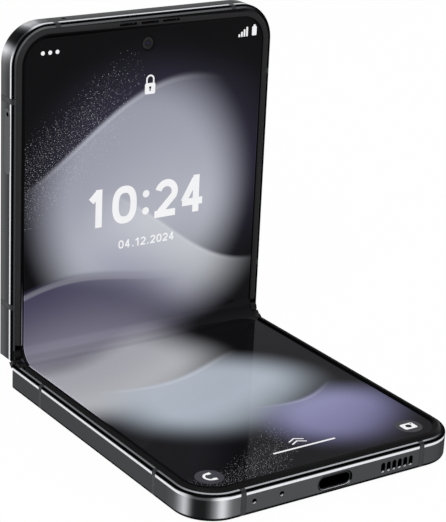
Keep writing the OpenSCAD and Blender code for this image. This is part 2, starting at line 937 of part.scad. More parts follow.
module hinge_bracket_screws() {
    color(STEEL) in_spine()
        for (side = [-1, 1])
            translate([side*bracket_x, 0, axis_z - spine_in_r])
                ear_screw_places() {
                    translate([0, 0, fit_gap - thread_depth])
                        cylinder(r = screw_r - fit_gap, h = thread_depth + ear_t + weld);
                    translate([0, 0, ear_t]) screw_head();
                }
}

module timing_gear_1() {
    color(STEEL) in_spine() timing_gear(1, phase_1, -pocket_w/2, train_w/2);
}

module timing_gear_2() {
    color(STEEL) in_spine() timing_gear(2, phase_2, -train_w/2, train_w/2);
}

module timing_gear_3() {
    color(STEEL) in_spine() timing_gear(3, phase_3, -train_w/2, train_w/2);
}

module timing_gear_4() {
    color(STEEL) in_spine() timing_gear(4, phase_4, -train_w/2, pocket_w/2);
}

// The bend of the screen is an arc that leaves each rigid half tangentially
screen_over_axis = screen_z - axis_z;
bend_edge_y = -axis_half + (axis_half - bend_start)*cos(side_fold) + screen_over_axis*sin(side_fold);
bend_edge_z = axis_z + (bend_start - axis_half)*sin(side_fold) + screen_over_axis*cos(side_fold);
bend_r = -bend_edge_y/sin(side_fold);
bend_centre_z = bend_edge_z + bend_r*cos(side_fold);

module screen_bend(start, end) {
    along_x(0, 2*bend_half_w)
        translate([0, bend_centre_z]) ring_sector(bend_r, bend_r + fold_t, start, end);
}

module display_fold_lower() {
    color(GLASS) in_spine() screen_bend(270 - side_fold, 270);
}

module display_fold_upper() {
    color(GLASS) in_spine() screen_bend(270, 270 + side_fold);
}

// Pieces of the upper half

module upper_frame() {
    color(METAL) in_upper() difference() {
        flip_y() half_frame();
        key_hole(volume_y, volume_l);
        key_hole(side_key_y, side_key_l);
        slot_through_x(tray_y, tray_z, tray_l + 2*fit_gap, tray_h + 2*fit_gap,
                       -half_w - weld, wall_t + 2*weld);
        translate([top_mic_x, half_l + weld, top_mic_z])
            rotate([90, 0, 0]) cylinder(r = mic_r, h = wall_t + 2*weld);
        translate([0, punch_from_fold, mid_z - weld]) cylinder(r = punch_r + 0.4, h = screen_z);
        ear_slots(mid_z - 1);
    }
}

top_mic_x = -20.75;
top_mic_z = 2.5;

module upper_antenna_bands() {
    color(BAND) in_upper() flip_y() antenna_bands();
}

module upper_bezel() {
    color(BLACK) in_upper() difference() {
        flip_y() half_bezel();
        ear_slots(ledge_z - weld);
    }
}

ear_in = 1.8;

// The three slots in front of the earpiece, from height z up
module ear_slots(z) {
    for (i = [-1:1])
        translate([i*ear_pitch, half_l - ear_in, z])
            linear_extrude(bezel_top) stadium(ear_slot_l, ear_slot_w);
}

module upper_display() {
    color(GLASS) in_upper() difference() {
        flip_y() half_screen();
        translate([0, punch_from_fold, 0]) cylinder(r = punch_r, h = 2*screen_z);
    }
}

module upper_display_plate() {
    color(STEEL) in_upper() difference() {
        flip_y() half_screen_backing();
        translate([0, punch_from_fold, 0]) cylinder(r = punch_r + 0.4, h = 2*screen_z);
    }
}

module cover_glass() {
    color(GLASS) in_upper() difference() {
        flip_y() back_glass();
        for (x = lens_x)
            translate([x, lens_from_fold, -weld]) cylinder(r = ring_r + fit_gap, h = 2*glass_t);
        translate([flash_x, lens_from_fold, -weld]) cylinder(r = flash_r + fit_gap, h = 2*glass_t);
    }
}

cover_t = 0.4;
// The cover display's border, and its room beside the hinge and round the cameras
cover_inset = 3.4;
cover_start = 16;
cover_end = 4;
flash_room = 5;
ring_room = 2;

module cover_display() {
    color(BLACK) in_upper() translate([0, 0, glass_t + fit_gap]) linear_extrude(cover_t)
        difference() {
            translate([cover_inset - half_w, cover_start])
                rounded_square([body_w - 2*cover_inset, half_l - cover_start - cover_end], 4);
            translate([flash_x - flash_room, lens_from_fold - ring_r - ring_room])
                rounded_square([body_w, half_l], 3);
        }
}

module camera_rings() {
    color(METAL) in_upper()
        for (x = lens_x)
            translate([x, lens_from_fold, -ring_proud]) rotate_extrude()
                difference() {
                    translate([ring_r - ring_wall, 0]) square([ring_wall, ring_proud + glass_t]);
                    translate([0, -weld])
                        square([ring_r - ring_wall + lens_step, lens_t + lens_sunk + weld]);
                    translate([ring_r, 0]) rotate(45) square(ring_chamfer, center = true);
                }
}

lens_t = 0.5;
lens_sunk = 0.15;
lens_step = 0.5;
ring_chamfer = 0.5;

module camera_lenses() {
    color(GLASS) in_upper()
        for (x = lens_x)
            translate([x, lens_from_fold, lens_sunk - ring_proud])
                cylinder(r = ring_r - ring_wall + lens_step - fit_gap, h = lens_t);
}

front_camera_w = 5;
// A rear camera fills the room beside the front camera
camera_gap = 0.15;
camera_side = 2*(lens_x[1] - front_camera_w/2 - camera_gap);
camera_barrel_r = 3.6;
barrel_drop = 0.3;

module camera_modules() {
    color(BLACK) in_upper()
        for (x = lens_x) {
            translate([x - camera_side/2, lens_from_fold - camera_side/2, glass_t + fit_gap])
                rounded_box([camera_side, camera_side, mid_z - glass_t - 2*fit_gap], 0.6);
            translate([x, lens_from_fold, lens_t - ring_proud + barrel_drop])
                cylinder(r = camera_barrel_r, h = ring_proud + glass_t);
        }
}

module flash_lens() {
    color("#d8d4c4") in_upper()
        translate([flash_x, lens_from_fold, 0]) cylinder(r = flash_r, h = glass_t + 0.6);
}

// Front camera: a square module with a barrel that ends below the screen surface
front_camera_z = 2.4;
barrel_top = screen_z - 0.3;
front_lens_r = 1;
front_lens_z = screen_z - 0.6;

module front_camera() {
    color(BLACK) in_upper() translate([0, punch_from_fold, 0]) difference() {
        union() {
            translate([-front_camera_w/2, -front_camera_w/2, front_camera_z])
                rounded_box([front_camera_w, front_camera_w, mid_z - front_camera_z - fit_gap], 0.4);
            translate([0, 0, front_camera_z + weld])
                cylinder(r = punch_r - run_gap - fit_gap, h = barrel_top - front_camera_z - weld);
        }
        translate([0, 0, front_lens_z]) cylinder(r = front_lens_r, h = 1);
    }
}

module front_camera_lens() {
    color(GLASS) in_upper()
        translate([0, punch_from_fold, front_lens_z])
            cylinder(r = front_lens_r - fit_gap/2, h = 0.25);
}

earpiece_size = [14, 2.4, 2.5];

module earpiece() {
    color(BLACK) in_upper()
        translate([-earpiece_size[0]/2, half_l - wall_t - 2*fit_gap - earpiece_size[1],
                   mid_z - fit_gap - earpiece_size[2]])
            rounded_box(earpiece_size, 0.4);
}

// Room that the board's cut leaves round the flash and the rear cameras
board_flash_room = 3.5;
board_cut_gap = 0.8;

module main_board() {
    color(BOARD) in_upper() flip_y() inside_walls() flip_y()
        translate([0, 0, board_z]) linear_extrude(board_t) difference() {
            translate([-board_half_w, board_start])
                square([2*board_half_w, half_l - board_start]);
            translate([flash_x - board_flash_room, lens_from_fold - camera_side/2 - board_cut_gap])
                square([body_w, half_l]);
        }
}

can_h = 2.3;
can_l = 15;
can_w = [22, 15.5];
can_gap = 1;
can_side = 22.95;
can_edge = 2;

module shield_cans() {
    color(STEEL) in_upper() {
        for (i = [0, 1])
            translate([can_side - board_half_w + i*(can_w[0] + can_gap), board_start + can_edge,
                       board_z + board_t + fit_gap])
                rounded_box([can_w[i], can_l, can_h], 0.6);
    }
}

module upper_battery() {
    color(CELL) in_upper()
        translate([-cell_half_w, cell_start, glass_t + cover_t + 2*fit_gap])
            rounded_box([2*cell_half_w, board_start - cell_gap - cell_start,
                         mid_z - glass_t - cover_t - 3*fit_gap], 2);
}

motor_r = 4;
motor_h = 2.9;
motor_side = 10;
motor_end = 10.5;

module vibration_motor() {
    color(STEEL) in_upper()
        translate([motor_side - half_w, half_l - motor_end, board_z + board_t + fit_gap])
            cylinder(r = motor_r, h = motor_h);
}

// Half length of the tray's plate, and the reader's wall round the tray
plate_half_l = tray_l/2 - 1.1;
reader_wall = 0.6;

module sim_reader() {
    color(STEEL) in_upper() difference() {
        box_between([-half_w + wall_t + 3*fit_gap, tray_y - tray_l/2 - reader_wall,
                     board_z + board_t + fit_gap],
                    [-half_w + tray_depth + 2*reader_wall, tray_y + tray_l/2 + reader_wall,
                     mid_z - fit_gap]);
        box_between([-half_w, tray_y - plate_half_l - run_gap, tray_z - tray_t/2 - run_gap],
                    [-half_w + tray_depth + reader_wall, tray_y + plate_half_l + run_gap,
                     tray_z + tray_t/2 + run_gap]);
        // Wider mouth for the tray's face
        box_between([-half_w, tray_y - tray_l/2 - run_gap, tray_z - tray_h/2 - 3*run_gap],
                    [-half_w + wall_t + reader_wall, tray_y + tray_l/2 + run_gap, mid_z + weld]);
    }
}

// Strips behind the keys with a dome switch under each key's end
switch_x = half_w - wall_t - key_travel - flange_t - fit_gap;
dome_h = 1.2;
dome_r = 1.1;
strip_t = 0.5;
strip_z = board_z + board_t + 0.2;

module key_flex() {
    color(BLACK) in_upper() {
        for (key = [[volume_y, volume_l], [side_key_y, side_key_l]])
            box_between([switch_x - dome_h + 0.1 - strip_t, key[0] - key[1]/2 - 1, strip_z],
                        [switch_x - dome_h + 0.1, key[0] + key[1]/2 + 1, mid_z - fit_gap]);
        for (y = [volume_y - volume_l*0.3, volume_y + volume_l*0.3, side_key_y])
            translate([switch_x - dome_h, y, key_z])
                rotate([0, 90, 0]) cylinder(r = dome_r, h = dome_h - key_travel);
    }
}

module upper_microphone() {
    color(STEEL) in_upper()
        translate([top_mic_x - mic_size[0]/2, half_l - wall_t - 2*fit_gap - mic_size[1],
                   board_z + board_t + fit_gap])
            rounded_box([mic_size[0], mic_size[1], 1.4], 0.3);
}

module upper_magnets() {
    color(STEEL) in_upper() flip_y() magnets();
}

module upper_hinge_arms() {
    // The upper arms are the lower ones turned half round, with the teeth in step with gear 4
    color(STEEL) in_upper() flip_y() both_sides()
        hinge_arm(bracket_x, 1, nearest_phase(180 - upper_sector_phase, mesh_angle), 0, sector_span);
}

module upper_hinge_screws() {
    color(STEEL) in_upper() flip_y() arm_screws();
}

module volume_key() {
    color(METAL) in_upper() key_piece(volume_y, volume_l, volume_proud);
}

module side_key() {
    color(METAL) in_upper() key_piece(side_key_y, side_key_l, side_key_proud);
}

// The card is 12.3 by 8.8 and lies in a seat with a rim behind it
card_seat = [12.3, 8.8];
seat_rim = 1.7;
seat_floor = 0.25;
// Hole for the eject pin, near the end of the tray's face
eject_d = 1.1;
eject_end = 1.45;
eject_lift = 0.2;
eject_depth = 3;
tray_face_t = 1.6;

module sim_tray() {
    color(METAL) in_upper() difference() {
        union() {
            slot_through_x(tray_y, tray_z, tray_l, tray_h, -half_w, tray_face_t);
            box_between([-half_w + 1, tray_y - plate_half_l, tray_z - tray_t/2],
                        [-half_w + tray_depth, tray_y + plate_half_l, tray_z + tray_t/2]);
        }
        slot_through_x(tray_y + tray_l/2 - eject_end, tray_z + eject_lift, eject_d, eject_d,
                       -half_w - weld, eject_depth);
        translate([-half_w + tray_depth - seat_rim - card_seat[0], tray_y - card_seat[1]/2,
                   tray_z - tray_t/2 + seat_floor])
            cube([card_seat[0], card_seat[1], tray_t]);
    }
}

lower_frame();
lower_antenna_bands();
lower_bezel();
lower_display();
lower_display_plate();
lower_back_glass();
lower_battery();
charging_coil();
sub_board();
usb_shell();
usb_tongue();
speaker_module();
lower_microphones();
lower_magnets();
lower_hinge_arms();
lower_hinge_screws();
hinge_cover();
hinge_end_caps();
hinge_brackets();
hinge_bracket_screws();
timing_gear_1();
timing_gear_2();
timing_gear_3();
timing_gear_4();
display_fold_lower();
display_fold_upper();
upper_frame();
upper_antenna_bands();
upper_bezel();
upper_display();
upper_display_plate();
cover_glass();
cover_display();
camera_rings();
camera_lenses();
camera_modules();
flash_lens();
front_camera();
front_camera_lens();
earpiece();
main_board();
shield_cans();
upper_battery();
vibration_motor();
sim_reader();
key_flex();
upper_microphone();
upper_magnets();
upper_hinge_arms();
upper_hinge_screws();
volume_key();
side_key();
sim_tray();
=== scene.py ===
"""Looks of a clamshell phone with a folding screen, standing half open on its lower half."""
import math

import bpy
from mathutils import Matrix, Vector


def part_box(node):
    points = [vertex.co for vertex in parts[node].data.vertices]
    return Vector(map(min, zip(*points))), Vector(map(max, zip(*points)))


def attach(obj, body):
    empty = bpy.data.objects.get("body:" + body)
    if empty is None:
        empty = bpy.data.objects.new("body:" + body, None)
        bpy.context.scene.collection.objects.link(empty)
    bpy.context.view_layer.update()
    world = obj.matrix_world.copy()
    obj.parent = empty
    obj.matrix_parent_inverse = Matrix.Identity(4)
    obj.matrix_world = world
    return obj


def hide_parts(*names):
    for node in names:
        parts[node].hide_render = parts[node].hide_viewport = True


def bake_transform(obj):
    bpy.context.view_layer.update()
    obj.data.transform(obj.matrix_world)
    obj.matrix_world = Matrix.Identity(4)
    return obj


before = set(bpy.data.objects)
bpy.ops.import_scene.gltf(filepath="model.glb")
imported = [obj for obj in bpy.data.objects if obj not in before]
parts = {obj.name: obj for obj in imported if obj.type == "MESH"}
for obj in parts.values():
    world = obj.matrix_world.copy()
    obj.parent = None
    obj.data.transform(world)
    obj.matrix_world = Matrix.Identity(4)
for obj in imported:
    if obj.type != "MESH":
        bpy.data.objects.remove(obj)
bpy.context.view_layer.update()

MM = 0.001

# Metal frames
# Each half has a rim milled from aluminium and anodised graphite, with a satin side. Painted light
# lies in its colour: a painted highlight line beside the screen, a painted dark reflection above it,
# a painted inner highlight line, painted shade at its foot and in its holes, painted highlights on
# the holes' lips, painted reflections streaking round its left corners and painted shade on its
# right corners. Keys, card tray and spine match its anodised metal.

HALF_L = 82.55
HALF_W = 35.95
CORNER_R = 9.3
back_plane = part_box("upper_frame")[1].y/MM
fold_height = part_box("upper_frame")[1].z/MM - HALF_L
fold_depth = HALF_L/2
# Heights above the back, in mm: the painted highlight line, the painted dark reflection above it and the
# painted shade at the foot
EDGE_HIGHLIGHT = (5.12, 5.62)
EDGE_HIGHLIGHT_SOFT = 0.09
DARK_REFLECTION = (5.86, 6.3)
DARK_REFLECTION_SOFT = 0.07
FOOT_SHADE = (0.75, 1.05)
# The end's holes: the heights they lie between, and how deep the painted highlight on their lips reaches in,
# in mm
HOLES = (1.15, 4.8)
LIP_HIGHLIGHT_DEPTH = 0.4
# How far the antenna bands of the end lie from its middle
BAND_X = 24.2
STREAK_R = CORNER_R + 3.0
# Light on a left corner: how far round it is, from its side at 0 to its end at 1, and how bright
STREAKS = [
    (0.0, 0.0), (0.155, 0.06), (0.2, 0.13), (0.235, 0.25), (0.275, 0.45), (0.31, 0.74), (0.35, 0.42),
    (0.385, 0.08), (0.42, 0.0), (0.58, 0.0), (0.615, 0.08), (0.655, 0.3), (0.695, 0.8), (0.73, 0.84),
    (0.77, 0.4), (0.805, 0.18), (0.845, 0.08), (1.0, 0.0),
]


def srgb(red, green, blue):
    """A colour given in 0 to 255 steps, as the linear colour a shader takes."""
    def linear(step):
        share = step/255
        return share/12.92 if share <= 0.04045 else ((share + 0.055)/1.055)**2.4
    return (linear(red), linear(green), linear(blue), 1.0)


def add(tree, kind, sockets=None, **options):
    """Adds one shader node with its options set and its sockets linked or filled."""
    node = tree.nodes.new("ShaderNode" + kind)
    for name, value in options.items():
        setattr(node, name, value)
    for name, value in (sockets or {}).items():
        if isinstance(value, bpy.types.NodeSocket):
            tree.links.new(value, node.inputs[name])
        else:
            node.inputs[name].default_value = value
    return node


def calc(tree, operation, *values, clamp=False):
    node = add(tree, "Math", dict(enumerate(values)), operation=operation, use_clamp=clamp)
    return node.outputs[0]


def ramp(tree, value, start, end, low=0.0, high=1.0):
    """Goes smoothly from low to high while value goes from start to end."""
    sockets = {"Value": value, "From Min": start, "From Max": end, "To Min": low, "To Max": high}
    return add(tree, "MapRange", sockets, interpolation_type="SMOOTHSTEP").outputs[0]


def band(tree, value, low, high, soft):
    """1 between low and high, fading to 0 over soft on either side."""
    rise = ramp(tree, value, low - soft, low)
    fall = ramp(tree, value, high, high + soft, 1.0, 0.0)
    return calc(tree, "MULTIPLY", rise, fall)


def mixed(tree, share, under, over):
    return add(tree, "Mix", {0: share, 6: under, 7: over}, data_type="RGBA").outputs[2]


def new_group(name, inputs, outputs):
    """Starts a node group. inputs and outputs give each socket's name and kind."""
    group = bpy.data.node_groups.new(name, "ShaderNodeTree")
    for side, sockets in (("INPUT", inputs), ("OUTPUT", outputs)):
        for socket, kind in sockets.items():
            group.interface.new_socket(socket, in_out=side, socket_type="NodeSocket" + kind)
    return group, group.nodes.new("NodeGroupInput").outputs, group.nodes.new("NodeGroupOutput").inputs


def use(tree, group, sockets=None):
    return add(tree, "Group", sockets, node_tree=group).outputs


def place_group(name, half):
    """A place on one half as if the phone lay flat: across, from the fold, above the back, in mm."""
    group, given, result = new_group(name, {}, {"Across": "Float", "Along": "Float", "Height": "Float"})
    place = add(group, "TexCoord").outputs["Object"]
    x, y, z = add(group, "SeparateXYZ", {0: place}).outputs
    group.links.new(calc(group, "DIVIDE", x, MM), result["Across"])
    if half == "lower":
        along = calc(group, "MULTIPLY_ADD", y, -1/MM, fold_depth)
        height = calc(group, "DIVIDE", z, MM)
    else:
        along = calc(group, "MULTIPLY_ADD", z, 1/MM, -fold_height)
        height = calc(group, "MULTIPLY_ADD", y, -1/MM, back_plane)
    group.links.new(along, result["Along"])
    group.links.new(height, result["Height"])
    return group


def rim_lines_group():
    """Masks of the rim's painted light: the painted highlight line, the painted dark reflection above
    it, the painted inner highlight line and the painted shade at the foot.

    Wider is how much further down the painted highlight line reaches, in mm.
    """
    masks = {"Bright": "Float", "Dark": "Float", "Inner": "Float", "FootShade": "Float"}
    group, given, result = new_group("rim_lines", {"Height": "Float", "Wider": "Float"}, masks)
    height = given["Height"]
    low = calc(group, "SUBTRACT", EDGE_HIGHLIGHT[0], given["Wider"])
    rise = ramp(group, height, calc(group, "SUBTRACT", low, EDGE_HIGHLIGHT_SOFT), low)
    fall = ramp(group, height, EDGE_HIGHLIGHT[1], EDGE_HIGHLIGHT[1] + EDGE_HIGHLIGHT_SOFT, 1.0, 0.0)
    group.links.new(calc(group, "MULTIPLY", rise, fall), result["Bright"])
    group.links.new(band(group, height, *DARK_REFLECTION, DARK_REFLECTION_SOFT), result["Dark"])
    group.links.new(ramp(group, height, DARK_REFLECTION[1], DARK_REFLECTION[1] + DARK_REFLECTION_SOFT), result["Inner"])
    group.links.new(ramp(group, height, *FOOT_SHADE, 1.0, 0.0), result["FootShade"])
    return group


def streak_light(tree, turn):
    """The painted reflection streaks' brightness, read off a ramp that goes round the corner."""
    node = add(tree, "ValToRGB", {"Fac": turn})
    node.color_ramp.interpolation = "B_SPLINE"
    points = node.color_ramp.elements
    while len(points) < len(STREAKS):
        points.new(0.5)
    for point, (position, brightness) in zip(points, STREAKS):
        point.position = position
        point.color = (brightness, brightness, brightness, 1.0)
    return node.outputs["Color"]


def rim_sheen_group():
    """Painted reflections and painted shade round the rim, and how strong its painted highlight line
    and painted inner highlight line are.

    Turn goes from 0 on a long side to 1 on the end. Left corners have painted bright and black
    reflection streaks of strength Streak, that Rise adds to towards the end. Right corners carry
    painted shade, and Unlit is where.
    """
    inputs = {"Across": "Float", "Along": "Float", "Side": "Float", "End": "Float", "Streak": "Float",
              "Rise": "Float"}
    outputs = {"Brightness": "Float", "EdgeHighlight": "Float", "Inner": "Float", "Unlit": "Float"}
    group, given, result = new_group("rim_sheen", inputs, outputs)
    side = calc(group, "SUBTRACT", calc(group, "ABSOLUTE", given["Across"]), HALF_W - STREAK_R)
    end = calc(group, "SUBTRACT", given["Along"], HALF_L - STREAK_R)
    turn = calc(group, "ARCTAN2", calc(group, "MAXIMUM", end, 0.0), calc(group, "MAXIMUM", side, 0.0001))
    turn = calc(group, "DIVIDE", turn, math.pi/2)
    plain = calc(group, "MULTIPLY_ADD", turn, calc(group, "SUBTRACT", given["End"], given["Side"]),
                 given["Side"])
    on_left = ramp(group, given["Across"], -2.0, 2.0, 1.0, 0.0)
    on_right = calc(group, "SUBTRACT", 1.0, on_left)
    # A left corner: the painted reflection streaks and the painted black reflection between them
    black = calc(group, "MULTIPLY_ADD", band(group, turn, 0.445, 0.53, 0.1), -0.85, 1.0)
    gain = calc(group, "MULTIPLY_ADD", turn, given["Rise"], given["Streak"])
    left = calc(group, "MULTIPLY_ADD", streak_light(group, turn), gain,
                calc(group, "MULTIPLY", plain, black))
    left = calc(group, "MINIMUM", left, 0.97)
    # A right corner: painted shade, as if turned away from the lamps
    shaded = calc(group, "SUBTRACT", 1.0, band(group, turn, 0.4, 0.52, 0.2))
    right = calc(group, "MULTIPLY", plain, shaded)
    change = calc(group, "SUBTRACT", left, right)
    group.links.new(calc(group, "MULTIPLY_ADD", change, on_left, right), result["Brightness"])
    unlit = calc(group, "MULTIPLY", band(group, turn, 0.3, 0.52, 0.1), on_right)
    group.links.new(unlit, result["Unlit"])
    # The painted highlight line fades on both corners, the painted inner highlight line grows towards the
    # end
    faded = calc(group, "MULTIPLY", band(group, turn, 0.36, 0.58, 0.14), on_left)
    faded = calc(group, "MULTIPLY_ADD", unlit, 0.6, calc(group, "MULTIPLY", faded, 0.93))
    group.links.new(calc(group, "SUBTRACT", 1.0, faded), result["EdgeHighlight"])
    grows = ramp(group, turn, 0.15, 0.5, 0.35, 0.85)
    away = ramp(group, given["Across"], HALF_W - 12.0, HALF_W - 4.0, 1.0, 0.02)
    group.links.new(calc(group, "MULTIPLY", grows, away), result["Inner"])
    return group


def grain_group():
    """Fine blasted grain: Height for a bump and Tone for small changes of colour or roughness."""
    group, given, result = new_group("fine_grain", {"Size": "Float", "Stretch": "Vector"},
                                     {"Height": "Float", "Tone": "Float"})
    place = add(group, "TexCoord").outputs["Object"]
    drawn = add(group, "VectorMath", {0: place, 1: given["Stretch"]}, operation="MULTIPLY").outputs[0]
    per_metre = calc(group, "DIVIDE", 1/MM, given["Size"])
    fine = add(group, "TexNoise", {"Vector": drawn, "Scale": per_metre, "Detail": 2.0}).outputs[0]
    broad = add(group, "TexNoise", {"Vector": drawn, "Scale": calc(group, "DIVIDE", per_metre, 40.0)})
    group.links.new(fine, result["Height"])
    group.links.new(broad.outputs[0], result["Tone"])
    return group


def hole_walls_group():
    """Masks of the walls of the end's holes, painted in shade, and of the painted highlight on their lips
    where they face up.
    """
    inputs = {"Across": "Float", "Along": "Float", "Height": "Float"}
    group, given, result = new_group("hole_walls", inputs, {"Inside": "Float", "LipHighlight": "Float"})
    along = given["Along"]
    behind = ramp(group, along, HALF_L - 0.06, HALF_L - 0.02, 1.0, 0.0)
    inside = calc(group, "MULTIPLY", behind, band(group, given["Height"], *HOLES, 0.05))
    wide = calc(group, "ABSOLUTE", given["Across"])
    inside = calc(group, "MULTIPLY", inside, ramp(group, wide, BAND_X, BAND_X + 0.4, 1.0, 0.0))
    normal = add(group, "NewGeometry").outputs["True Normal"]
    faces_up = ramp(group, add(group, "SeparateXYZ", {0: normal}).outputs[2], 0.35, 0.8)
    lip = calc(group, "MULTIPLY", ramp(group, along, HALF_L - LIP_HIGHLIGHT_DEPTH - 0.2, HALF_L - LIP_HIGHLIGHT_DEPTH), faces_up)
    group.links.new(inside, result["Inside"])
    group.links.new(calc(group, "MULTIPLY", inside, lip), result["LipHighlight"])
    return group


PLACE = {"lower": place_group("lower_place", "lower"), "upper": place_group("upper_place", "upper")}
RIM_LINES = rim_lines_group()
RIM_SHEEN = rim_sheen_group()
GRAIN = grain_group()
HOLE_WALLS = hole_walls_group()
EVEN = (1.0, 1.0, 1.0)


def new_material(name):
    material = bpy.data.materials.new(name)
    material.use_nodes = True
    material.node_tree.nodes.clear()
    return material, material.node_tree


def close_material(tree, sockets, height=None, depth=0.0):
    """Ends a material with its shader. height, where given, is a bump of depth metres."""
    sockets = dict(sockets)
    if height is not None:
        bump = add(tree, "Bump", {"Strength": 1.0, "Distance": depth, "Height": height})
        sockets["Normal"] = bump.outputs[0]
    shader = add(tree, "BsdfPrincipled", sockets)
    add(tree, "OutputMaterial", {"Surface": shader.outputs[0]})


def dress(material, *names):
    for name in names:
        for slot in parts[name].material_slots:
            slot.material = material


GRAPHITE = srgb(73, 75, 78)
# Painted light of the rims: a painted highlight white, a painted shade black and a painted inner highlight
# grey
HIGHLIGHT_WHITE = srgb(238, 239, 242)
SHADE_BLACK = srgb(6, 6, 7)
INNER_HIGHLIGHT = srgb(176, 178, 181)


def frame_metal(half, side, end, streak, rise, spread, foot, inner_light, wider):
    """Anodised rim of one half, with painted light in its colour.

    side and end are its painted brightness on the long sides and on the end, streak that of the
    painted reflection streaks on the left corners and rise how much brighter they get towards the
    end. spread is how much painted shade darkens it from the back towards the screen, foot and
    inner_light are the strengths of the painted shade at the foot and of the painted inner
    highlight line, wider is how much the painted highlight line grows on the end, in mm.
    """
    material, tree = new_material(half + "_frame_metal")
    place = use(tree, PLACE[half])
    across, along, height = place["Across"], place["Along"], place["Height"]
    # The painted highlight line reaches further down on the end, by wider
    growth = ramp(tree, along, HALF_L - 1.0, HALF_L, 0.0, wider)
    lines = use(tree, RIM_LINES, {"Height": height, "Wider": growth})
    # Painted reflection streaks on the left corners and painted shade on the right ones
    sheen = use(tree, RIM_SHEEN, {"Across": across, "Along": along, "Side": side, "End": end,
                                  "Streak": streak, "Rise": rise})
    grain = use(tree, GRAIN, {"Size": 0.12, "Stretch": EVEN})
    tone = calc(tree, "MULTIPLY_ADD", grain["Tone"], 0.12, 0.94)
    # Painted shade: darker from the back towards the screen, by spread
    tone = calc(tree, "MULTIPLY", tone, ramp(tree, height, 1.2, 4.9, 1.0 + spread, 1.0 - spread))
    shade = calc(tree, "MULTIPLY", sheen["Brightness"], tone)
    colour = add(tree, "CombineColor", {0: shade, 1: calc(tree, "MULTIPLY", shade, 1.02),
                                        2: calc(tree, "MULTIPLY", shade, 1.06)}).outputs[0]
    # Painted shade inside the end's holes and painted highlights on their lips
    walls = use(tree, HOLE_WALLS, {"Across": across, "Along": along, "Height": height})
    colour = mixed(tree, walls["Inside"], colour, SHADE_BLACK)
    colour = mixed(tree, walls["LipHighlight"], colour, HIGHLIGHT_WHITE)
    # Painted shade at the foot of the rim, with a lighter line at the very bottom
    foot = calc(tree, "MULTIPLY", lines["FootShade"], foot)
    foot_shade_tone = mixed(tree, ramp(tree, height, 0.2, 0.5), srgb(44, 45, 47), srgb(16, 16, 18))
    colour = mixed(tree, foot, colour, foot_shade_tone)
    # Painted inner highlight line along the rim's top, weaker on the right side
    inner = mixed(tree, calc(tree, "MULTIPLY", sheen["Inner"], inner_light), SHADE_BLACK, INNER_HIGHLIGHT)
    colour = mixed(tree, lines["Inner"], colour, inner)
    # Painted dark reflection above the highlight line
    colour = mixed(tree, lines["Dark"], colour, SHADE_BLACK)
    # Painted highlight line beside the screen
    bright = calc(tree, "MULTIPLY", lines["Bright"], sheen["EdgeHighlight"])
    colour = mixed(tree, bright, colour, HIGHLIGHT_WHITE)
    matt = calc(tree, "MAXIMUM", calc(tree, "MAXIMUM", foot, walls["LipHighlight"]), lines["Inner"])
    # The painted shade of the right corners is matt
    matt = calc(tree, "MAXIMUM", matt, calc(tree, "MULTIPLY", sheen["Unlit"], 0.95))
    metallic = calc(tree, "SUBTRACT", 1.0, calc(tree, "MAXIMUM", matt, calc(tree, "MULTIPLY", bright, 0.6)))
    sockets = {
        "Base Color": colour,
        "Metallic": metallic,
        "Roughness": calc(tree, "MULTIPLY_ADD", grain["Tone"], 0.1, 0.27),
        "Specular IOR Level": 0.0,
        "Specular Tint": (0.5, 0.5, 0.5, 1.0),
    }
    close_material(tree, sockets, grain["Height"], 0.000002)
    return material


def plain_metal(name, colour, roughness, stretch=EVEN, size=0.12):
    """Anodised or machined metal with fine grain, drawn out where stretch says so."""
    material, tree = new_material(name)
    grain = use(tree, GRAIN, {"Size": size, "Stretch": stretch})
    darker = tuple(0.88*share for share in colour[:3]) + (1.0,)
    sockets = {
        "Base Color": mixed(tree, grain["Tone"], darker, colour),
        "Metallic": 1.0,
        "Roughness": calc(tree, "MULTIPLY_ADD", grain["Tone"], 0.1, roughness - 0.05),
    }
    close_material(tree, sockets, grain["Height"], 0.000002)
    return material


ALONG_X = (0.05, 1.0, 1.0)
# The halves are painted to different brightness, as light falls differently on the lying lower and the
# standing upper half; only the lower one has painted shade at its foot
dress(frame_metal("lower", side=0.061, end=0.068, streak=0.74, rise=0.0, spread=0.0,
                  foot=1.0, inner_light=1.0, wider=0.0), "lower_frame")
dress(frame_metal("upper", side=0.091, end=0.112, streak=0.3, rise=1.9, spread=0.36,
                  foot=0.0, inner_light=0.3, wider=0.35), "upper_frame")
dress(plain_metal("key_metal", GRAPHITE, 0.3), "volume_key", "side_key", "sim_tray")
dress(plain_metal("spine_metal", srgb(70, 72, 76), 0.26, ALONG_X), "hinge_cover")

# Antenna bands
# Moulded graphite plastic shot into slots of the frame and milled flush with it. It carries no
# painted highlight line, so the bands break the painted highlight line round the phone, but it has
# the rim's painted dark reflection and painted shade at its foot.


def band_plastic(half):
    material, tree = new_material(half + "_band_plastic")
    place = use(tree, PLACE[half])
    lines = use(tree, RIM_LINES, {"Height": place["Height"], "Wider": 0.0})
    grain = use(tree, GRAIN, {"Size": 0.08, "Stretch": EVEN})
    colour = mixed(tree, grain["Tone"], srgb(49, 51, 53), srgb(57, 58, 61))
    # Painted dark reflection, then painted shade at the foot
    colour = mixed(tree, lines["Dark"], colour, srgb(30, 31, 33))
    colour = mixed(tree, lines["FootShade"], colour, srgb(24, 25, 26))
    close_material(tree, {"Base Color": colour, "Roughness": 0.5, "Specular IOR Level": 0.2},
                   grain["Height"], 0.000003)
    return material


dress(band_plastic("lower"), "lower_antenna_bands")
dress(band_plastic("upper"), "upper_antenna_bands")

# Inner pieces
# Boards, cells, coil, modules and magnets lie under the screen plates and glued glass. They
# are bonded or screwed into the frames and show only when the phone is taken apart.


